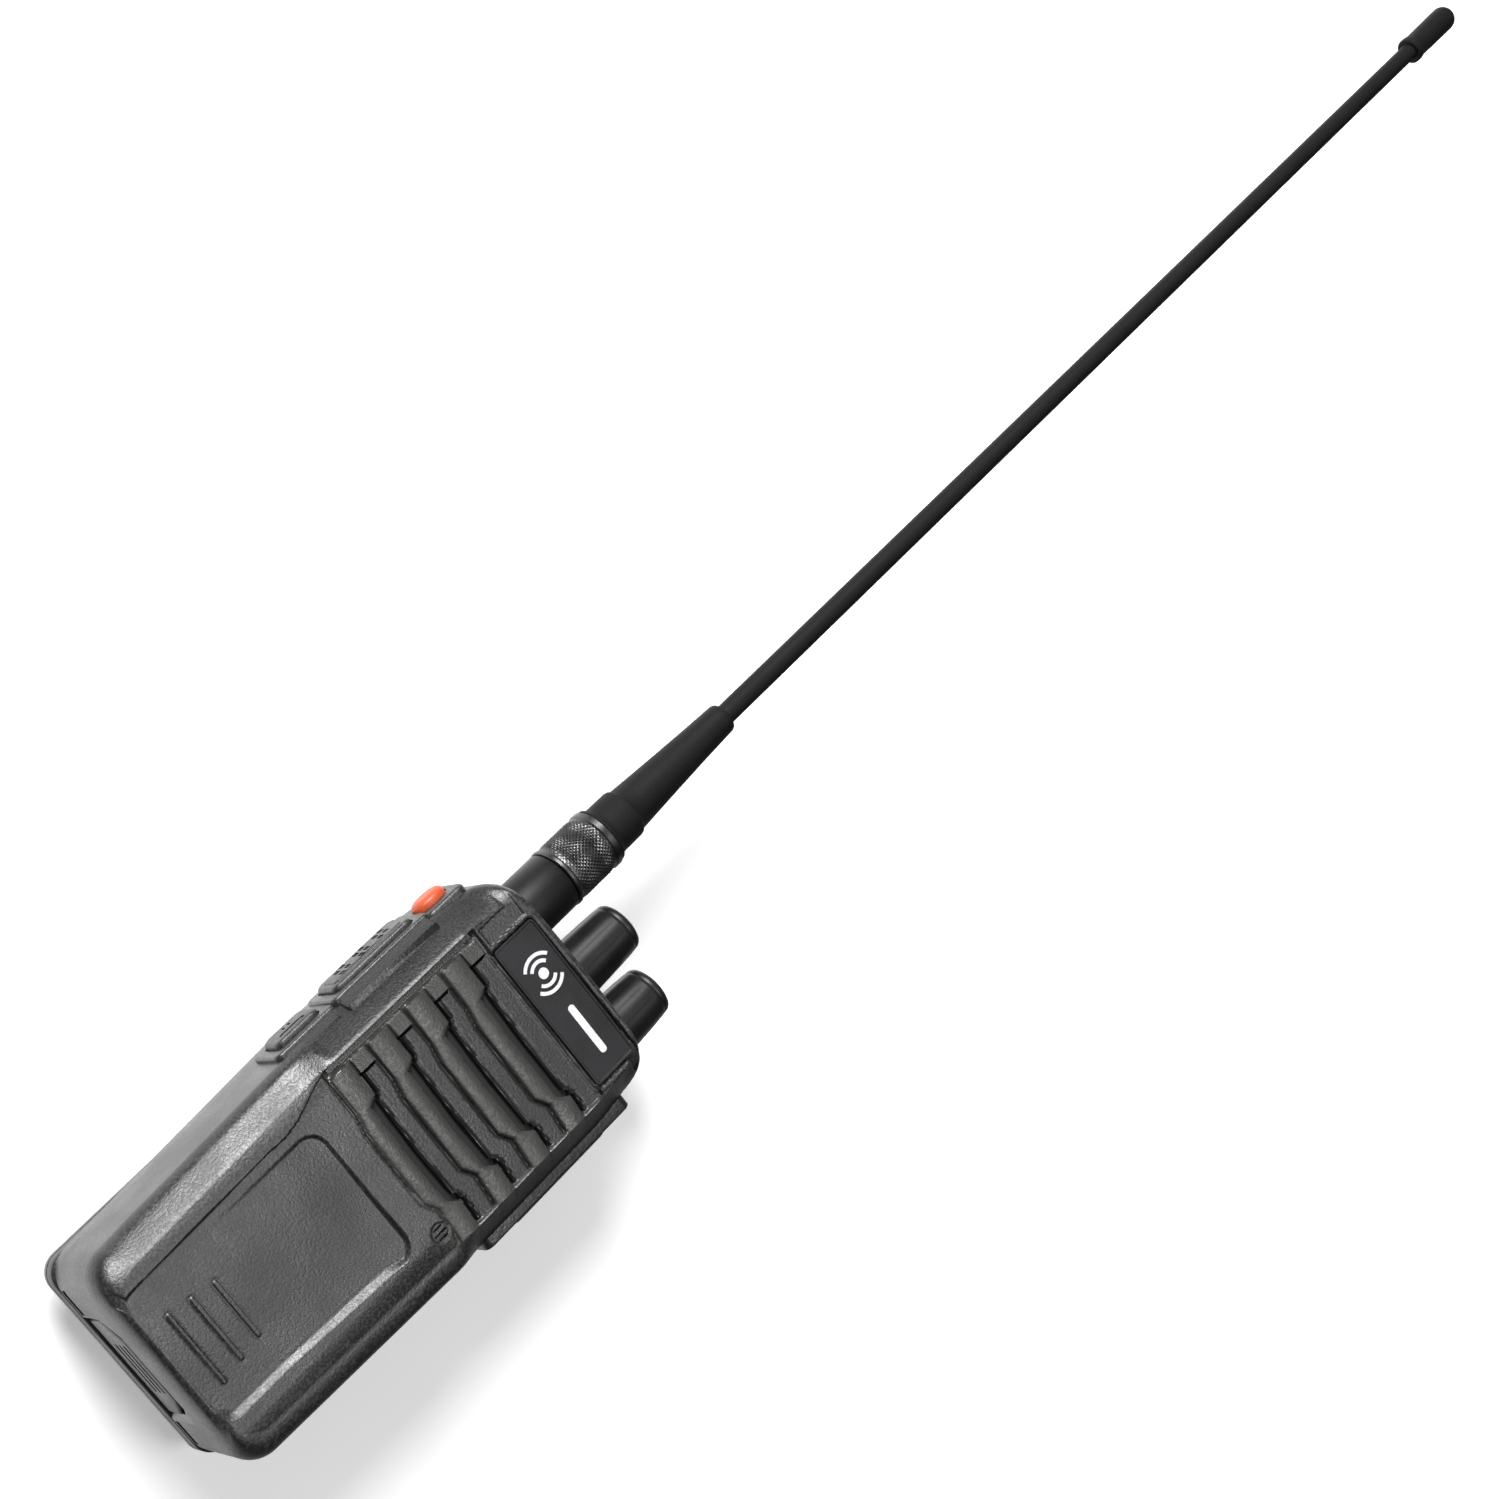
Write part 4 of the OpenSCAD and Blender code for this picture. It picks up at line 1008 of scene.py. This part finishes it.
def jack_cover():
    d0, d1 = COVER_D
    z0, z1 = COVER_Z
    levels = rounded_levels(SIDE_HW - 0.9, SIDE_HW - 0.2, 0.5, 5, True)
    cover = pad("jack_cover_flap", "x", COVER_D, COVER_Z, 2.0, levels)
    levels = rounded_levels(SIDE_HW - 0.6, SIDE_HW, 0.3, 4)
    add(cover, pad("rise", "x", (d0 + 1.2, d1 - 1.2), (z0 + 1.6, z1 - 1.6), 1.5, levels))
    for i in range(5):
        z = 90.5 + 2.4 * i
        cut(cover, box("grip", (SIDE_HW - 0.25, d0 + 2.4, z), (SIDE_HW + 1, d0 + 7.4, z + 0.9)))
    low, high = z0 + 4, z1 - 4
    across = (HINGE[0] + 0.2, HINGE[0] + 0.8)
    add(cover, pad("web", "z", across, (d1 - 1, HINGE[1]), 0.05, [(low, 0), (high, 0)], 2))
    add(cover, disc("barrel", *HINGE, 0.95, low, high, 24))
    cut(cover, disc("bore", *HINGE, 0.55, low - 1, high + 1, 24))
    return place(smooth(cover, 35), "side_cover", COVER, "cover_rubber", "jack_cover")


jack_cover()


# ---- knobs ----


def knob(name, x, top, body, node_name):
    """A hollow cap with twelve shallow flutes. Its outline lists (radius, height, share of the flutes)."""
    turns, flutes, flute_depth = 144, 12, 0.14
    z0 = BODY_H + 0.5
    inner = [(0.02, top - 3.0, 0), (3.0, top - 3.0, 0), (3.0, 4.2, 0), (5.9, 4.2, 0), (5.9, 0.0, 0)]
    skirt = [(7.05, 0.0, 0), (7.25, 0.25, 0), (7.3, 0.8, 0.2), (7.22, 2.4, 0.7)]
    side = [
        (7.08, top * 0.35, 1.0), (6.9, top * 0.6, 1.0), (6.72, top - 4.2, 0.9), (6.62, top - 2.9, 0.35),
        (6.55, top - 2.3, 0),
    ]
    cap = [
        (6.42, 2.1), (6.42, 1.95), (6.5, 1.75), (6.42, 1.0), (6.1, 0.45), (5.6, 0.15), (5.1, 0.05),
        (4.95, 0.25), (4.75, 0.35), (2.5, 0.35), (0.02, 0.35),
    ]
    loops = []
    for radius, height, share in inner + skirt + side + [(r, top - drop, 0) for r, drop in cap]:
        loop = []
        for i in range(turns):
            a = 2 * math.pi * i / turns
            wave = abs(math.sin(flutes * a / 2)) ** 0.8
            r = radius - flute_depth * share * (1 - wave)
            loop.append((x + r * math.cos(a), AXIS_D + r * math.sin(a), z0 + height))
        loops.append(loop)
    return place(smooth(loft(name, loops), 38), body, KNOB, "knob_plastic", node_name)


knob("volume_knob_cap", VOLUME_X, 19.5, "volume_control", "volume_knob")
knob("channel_knob_cap", CHANNEL_X, 15.5, "channel_control", "channel_knob")


# ---- antenna ----

WASHER_TOP = BODY_H + 0.9
RING_Z = 142.0
BOOT_Z = 157.0
CONE_Z = 166.5
WHIP_Z = 202.0
TIP_Z = 535.0
CAP_H = 22.0


def antenna_part(obj, material, slot, node_name, angle=40):
    return place(smooth(obj, angle), "antenna", material, slot, node_name)


def antenna_base():
    bore_z = BODY_H + 9.5
    profile = [
        (0.02, bore_z), (3.15, bore_z), (3.15, WASHER_TOP), (7.3, WASHER_TOP), (7.6, WASHER_TOP + 0.3),
        (7.65, WASHER_TOP + 0.8), (7.65, RING_Z - 0.7), (7.5, RING_Z - 0.35), (7.2, RING_Z - 0.3),
        (7.0, RING_Z), (6.3, RING_Z), (6.3, BOOT_Z), (0.62, BOOT_Z), (0.02, BOOT_Z),
    ]
    collar = turned("antenna_base_collar", profile, ANTENNA_X, AXIS_D, 96)
    return antenna_part(collar, ANTENNA, "antenna_plastic", "antenna_base")


def antenna_ring():
    """A ring with a diamond knurl between two plain rims."""
    around, rows = ((352, 84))
    count = 44
    z0, z1 = RING_Z + 1.3, BOOT_Z - 1.9
    low_z, high_z = RING_Z + 0.05, BOOT_Z - 0.05
    lower = ((6.35, low_z), (7.6, low_z), (7.85, RING_Z + 0.25), (7.85, z0 - 0.35), (7.5, z0))
    upper = ((7.5, z1), (7.82, z1 + 0.3), (7.82, BOOT_Z - 0.25), (7.6, high_z), (6.35, high_z))

    def plain(rims):
        return [lifted(ellipse(r, r, ANTENNA_X, AXIS_D, around), "z", z) for r, z in rims]

    loops = plain(lower)
    for k in range(1, rows):
        z = z0 + (z1 - z0) * k / rows
        fade = min(1.0, 6.0 * min(k, rows - k) / rows)
        loop = []
        for i in range(around):
            a = 2 * math.pi * i / around
            u = count * a / (2 * math.pi)
            v = (z - z0) / 1.15
            p, q = (u + v) % 1.0, (u - v) % 1.0
            peak = min(min(p, 1 - p), min(q, 1 - q)) * 2
            r = 7.42 + 0.38 * fade * min(peak, 0.8)
            loop.append((ANTENNA_X + r * math.cos(a), AXIS_D + r * math.sin(a), z))
        loops.append(loop)
    loops += plain(upper)
    ring = loft("antenna_knurled_ring", loops, ring=True)
    return antenna_part(ring, KNURL, "knurled_metal", "antenna_ring", 30)


def antenna_boot():
    seat = [(0.02, 6.0), (2.6, 6.0), (2.6, 5.0), (0.65, 4.9), (0.65, 0.0)]
    flange = [
        (7.2, 0.0), (7.45, 0.25), (7.45, 0.9), (7.2, 1.2), (6.75, 1.35), (6.6, 1.7), (6.55, 3.0),
    ]
    cone = [
        (6.5, -1.0), (6.35, -0.35), (6.0, 0.0), (5.85, 0.3), (5.6, 4.0), (5.0, 14.0), (4.4, 25.0),
    ]
    mouth = [
        (4.0, -1.5), (3.95, -0.4), (3.75, 0.25), (3.3, 0.5), (2.66, 0.55), (2.3, 0.2), (0.02, 0.2),
    ]
    profile = []
    for level, points in ((BOOT_Z, seat + flange), (CONE_Z, cone), (WHIP_Z, mouth)):
        profile += [(r, level + h) for r, h in points]
    boot = turned("antenna_rubber_boot", profile, ANTENNA_X, AXIS_D, 96)
    return antenna_part(boot, RUBBER, "antenna_rubber", "antenna_boot")


def antenna_whip():
    """A long rod, a little thinner towards its tip."""
    low, high = WHIP_Z - 2.0, TIP_Z - 8.0
    foot = BOOT_Z + 6
    steps = 40
    levels = [low + (high - low) * i / steps for i in range(steps + 1)]
    rod = [(2.65 - 0.25 * (z - foot) / (high - foot), z) for z in levels]
    whip = turned("antenna_whip_rod", [(0.02, low)] + rod + [(0.02, high)], ANTENNA_X, AXIS_D, 32)
    return antenna_part(whip, RUBBER, "antenna_rubber", "antenna_whip")


def antenna_tip():
    z0, r = TIP_Z - CAP_H, 3.6
    profile = [
        (2.42, z0 + 3), (2.42, z0), (3.45, z0), (3.8, z0 + 0.3), (3.85, z0 + 1.6), (3.7, z0 + 2.3),
        (3.5, z0 + 2.9), (3.55, z0 + 8), (r, z0 + 15), (r, TIP_Z - r),
    ]
    steps = 8
    for i in range(1, steps + 1):
        a = math.pi / 2 * i / steps
        profile.append((r * math.cos(a) + 0.01, TIP_Z - r + r * math.sin(a)))
    cap = turned("antenna_tip_cap", profile, ANTENNA_X, AXIS_D, 48)
    return antenna_part(cap, RUBBER, "antenna_rubber", "antenna_tip")


antenna_base()
antenna_ring()
antenna_boot()
antenna_whip()
antenna_tip()


# ---- battery ----

BATTERY_H = 96.0
BATTERY_HW = 28.2
SEAM_D = SHELL_D + GAP
LID_D = 31.8
BACK_D = 35.0
PACK_HW = 26.0
PACK_D = 19.4


def battery_case():
    levels = [(SEAM_D, 0.5), (SEAM_D + 0.3, 0.1), (SEAM_D + 0.6, 0), (LID_D - 0.3, 0), (LID_D, 0.25)]
    case = pad("battery_case_moulding", "y", (-BATTERY_HW, BATTERY_HW), (0, BATTERY_H), 5.0, levels, 10)
    levels = [(SEAM_D + 1, 0), (PACK_D + 0.6, 0), (PACK_D + 0.15, 0.2), (PACK_D, 0.6)]
    add(case, pad("tub", "y", (-PACK_HW, PACK_HW), (6.0, BATTERY_H - 2), 3.0, levels))
    add(case, side_rod("bead", 30.0, BATTERY_H - 1, 1.2, -20, 20))
    room, levels = PACK_HW - 1.5, [(PACK_D + 1.5, 0), (LID_D + 1, 0)]
    cut(case, pad("hollow", "y", (-room, room), (7.5, BATTERY_H - 4), 2.0, levels, 6))
    for x in (-6, 0, 6):
        cut(case, rod_y("hole", x, 20, 2.0, PACK_D - 1, PACK_D + 2))
    return place(smooth(case, 38), "battery", BATTERY, "battery_plastic", "battery_case")


def battery_lid():
    rim = [(1.6, 0), (1.1, 0.15), (0.7, 0.5), (0.35, 1.0), (0.12, 1.6), (0.02, 2.4), (0, 3.0)]
    levels = [(LID_D, 0.25), (LID_D + 0.3, 0)] + [(BACK_D - drop, inset) for drop, inset in rim]
    lid = pad("battery_lid_moulding", "y", (-BATTERY_HW, BATTERY_HW), (0, BATTERY_H), 5.0, levels, 12)

    # Wells round the charging contacts, finger grooves, and a shallow plain panel
    for x in (-9, 9):
        cut(lid, rod_y("well", x, 14, 2.5, BACK_D - 0.6, BACK_D + 1))
    levels = [(BACK_D - 0.5, 0.15), (BACK_D, 0), (BACK_D + 1, 0)]
    for z in range(60, 84, 4):
        cut(lid, pad("groove", "y", (-14, 14), (z, z + 1.2), 0.5, levels, 5))
    levels = [(BACK_D - 0.3, 0.2), (BACK_D, 0), (BACK_D + 1, 0)]
    cut(lid, pad("panel", "y", (-18, 18), (26, 52), 2.0, levels, 6))
    return place(smooth(lid, 38), "battery", BATTERY, "battery_plastic", "battery_lid")


def latch_slider():
    loops = []
    for z, inset in ((0.5, 0.5), (0.62, 0.2), (0.9, 0.0), (WALL + 0.5, 0.0)):
        loops.append(lifted(latch_outline(-inset, SHELL_D - 0.5 - inset), "z", z))
    body = loft("latch_slide_cap", loops)
    levels = [(WALL, 0), (WALL + 2.1, 0), (WALL + 2.4, 0.3)]
    add(body, pad("nib", "z", (-5, 5), (SHELL_D - 3, SHELL_D - 1.4), 0.3, levels, 4))
    for i in range(3):
        d = LATCH_D0 + 2.5 + 2.6 * i
        cut(body, pad("grip", "z", (-7, 7), (d, d + 1.1), 0.5, [(0, 0), (1.0, 0)], 5))
    return place(smooth(body, 38), "battery_latch", SHELL, "shell_plastic", "latch_slider")


battery_case()
battery_lid()
latch_slider()


# ---- belt clip ----

CLIP_HW = 10.0
CLIP_AXIS = (38.0, 109.0)
CLIP_IN_D = 40.0


def clip_lever():
    w, inner = CLIP_HW, CLIP_IN_D
    axis_d, axis_z = CLIP_AXIS
    levels = [(inner + 0.6, 0.3), (inner + 0.9, 0)]
    levels += [(TOTAL_D - 1.1, 0), (TOTAL_D - 0.75, 0.2), (TOTAL_D - 0.6, 0.7)]
    lever = pad("belt_clip_lever", "y", (-w, w), (44, 121), 4.0, levels)
    levels = [(inner + 1.2, 0), (TOTAL_D - 0.3, 0), (TOTAL_D - 0.08, 0.2), (TOTAL_D, 0.6)]
    add(lever, pad("spine", "y", (-w + 2, w - 2), (48, 102), 3.0, levels))
    levels = [(inner, 0.4), (inner + 0.3, 0.05), (inner + 1.2, 0)]
    add(lever, pad("lip", "y", (-w, w), (44, 49), 2.0, levels, 6))
    levels = [(TOTAL_D - 0.9, 0), (TOTAL_D - 0.15, 0), (TOTAL_D, 0.25)]
    for z in range(108, 118, 3):
        add(lever, pad("rib", "y", (-w + 3, w - 3), (z, z + 1.2), 0.5, levels, 5))

    # Lugs for the pin, with room for the spring between them
    deep, high = (axis_d - 2, inner + 1.6), (axis_z - 2, axis_z + 2)
    for x in (-w, w - 2.2):
        add(lever, pad("lug", "x", deep, high, 1.9, [(x, 0), (x + 2.2, 0)]))
    cut(lever, side_rod("bore", axis_d, axis_z, 1.25, -w - 1, w + 1))
    cut(lever, side_rod("room", axis_d, axis_z, 2.8, -w + 2.25, w - 2.25))
    return place(smooth(lever, 38), "belt_clip", CLIP, "clip_plastic", "clip_lever")


clip_lever()


# ---- stage, light and camera ----

# The camera fitted to the photograph: its angles, its lens in millimetres and its place in metres
TILT = math.radians(27.3)
TURN = math.radians(16.5)
ROLL = math.radians(45.45)
FOCAL = 69.65
SENSOR = 36.0
EYE = Vector((-0.1806, -0.5998, -0.1169))
SHEET_GLOW = 0.37

forward = Vector((math.cos(TILT) * math.sin(TURN), math.cos(TILT) * math.cos(TURN), math.sin(TILT)))
level_right = Vector((math.cos(TURN), -math.sin(TURN), 0))
level_up = level_right.cross(forward)
right = math.cos(ROLL) * level_right + math.sin(ROLL) * level_up
up = math.cos(ROLL) * level_up - math.sin(ROLL) * level_right

camera_data = bpy.data.cameras.new("camera")
camera_data.lens = FOCAL
camera_data.sensor_width = SENSOR
camera_data.clip_start = 0.01
camera_data.clip_end = 20
camera = linked("camera", camera_data)
camera.matrix_world = Matrix.Translation(EYE) @ Matrix((right, up, -forward)).transposed().to_4x4()
bpy.context.scene.camera = camera


def pale_sheet(name, corners):
    """A plain pale surface, seen from its front only, and by the camera alone."""
    mesh = bpy.data.meshes.new(name)
    mesh.from_pydata(corners, [], [(0, 1, 2, 3)])
    obj = linked(name, mesh)
    n = Nodes(name)
    mottle = n.noise(60.0, 2.0, 0.5)
    color = n.mix(n.spread(mottle, 0.0, 1.0), rgba(0.86), rgba(0.88))
    n.finish(color, n.spread(mottle, 0.85, 0.9))
    n.link(color, n.shader.inputs["Emission Color"])
    n.shader.inputs["Emission Strength"].default_value = SHEET_GLOW
    clear = n.node("ShaderNodeBsdfTransparent")
    choose = n.node("ShaderNodeMixShader")
    n.link(n.node("ShaderNodeNewGeometry").outputs["Backfacing"], choose.inputs[0])
    n.link(n.shader.outputs[0], choose.inputs[1])
    n.link(clear.outputs[0], choose.inputs[2])
    n.link(choose.outputs[0], n.tree.nodes["Material Output"].inputs["Surface"])
    mesh.materials.append(n.material)
    for ray in ("diffuse", "glossy", "transmission", "shadow"):
        setattr(obj, f"visible_{ray}", False)
    return obj


# The backdrop stands just behind the belt clip, where the table is in the photograph
WALL_Y = TOTAL_D / 2 * MM + 0.0005
FLOOR_Z = -0.0004
pale_sheet("backdrop", [(-2, WALL_Y, -2), (2, WALL_Y, -2), (2, WALL_Y, 3), (-2, WALL_Y, 3)])
pale_sheet("floor", [(-2, -2, FLOOR_Z), (2, -2, FLOOR_Z), (2, 2, FLOOR_Z), (-2, 2, FLOOR_Z)])

LIT_POINT = Vector((0, 0, 0.15))


def area_light(name, direction, distance, size, power):
    data = bpy.data.lights.new(name, "AREA")
    data.shape = "DISK"
    data.size = size
    data.energy = power
    obj = linked(name, data)
    away = Vector(direction).normalized()
    obj.location = LIT_POINT + away * distance
    obj.rotation_euler = away.to_track_quat("Z", "Y").to_euler()
    return obj


area_light("key", (-0.73, -0.67, 0.13), 1.6, 0.7, 38)
area_light("fill", (0.20, -0.97, 0.10), 3.0, 1.1, 25)


def studio_world():
    """White behind the object, as a lit table is, but darker on the side where its shadow falls."""
    world = bpy.data.worlds.new("studio")
    bpy.context.scene.world = world
    world.use_nodes = True
    tree = world.node_tree

    def node(kind, **values):
        return new_node(tree, kind, **values)

    direction = node("ShaderNodeTexCoord").outputs["Generated"]
    parts = node("ShaderNodeSeparateXYZ")
    tree.links.new(direction, parts.inputs[0])

    def ramp(axis, stops):
        half = node("ShaderNodeMapRange")
        half.inputs["From Min"].default_value = -1
        tree.links.new(parts.outputs[axis], half.inputs["Value"])
        scale = node("ShaderNodeValToRGB")
        tree.links.new(half.outputs["Result"], scale.inputs["Fac"])
        ends = scale.color_ramp.elements
        for end, (position, value) in zip((ends[0], ends[1]), (stops[0], stops[-1])):
            end.position, end.color = position, (value, value, value, 1)
        for position, value in stops[1:-1]:
            ends.new(position).color = (value, value, value, 1)
        return scale.outputs["Color"]

    depth = ramp("Y", ((0.0, 0.20), (0.3, 0.10), (0.42, 0.02), (0.52, 0.05), (0.64, 0.9), (1.0, 1.1)))
    across = ramp("X", ((0.0, 1.0), (0.5, 0.95), (0.75, 0.25), (1.0, 0.12)))
    product = node("ShaderNodeMix", data_type="RGBA", blend_type="MULTIPLY")
    product.inputs["Factor"].default_value = 1
    tree.links.new(depth, product.inputs[6])
    tree.links.new(across, product.inputs[7])
    pick = node("ShaderNodeMix", data_type="RGBA")
    tree.links.new(node("ShaderNodeLightPath").outputs["Is Camera Ray"], pick.inputs["Factor"])
    tree.links.new(product.outputs[2], pick.inputs[6])
    pick.inputs[7].default_value = (0.52, 0.52, 0.52, 1)
    background = tree.nodes["Background"]
    tree.links.new(pick.outputs[2], background.inputs["Color"])
    background.inputs["Strength"].default_value = 1.8


studio_world()

bpy.context.scene.view_settings.view_transform = "Standard"
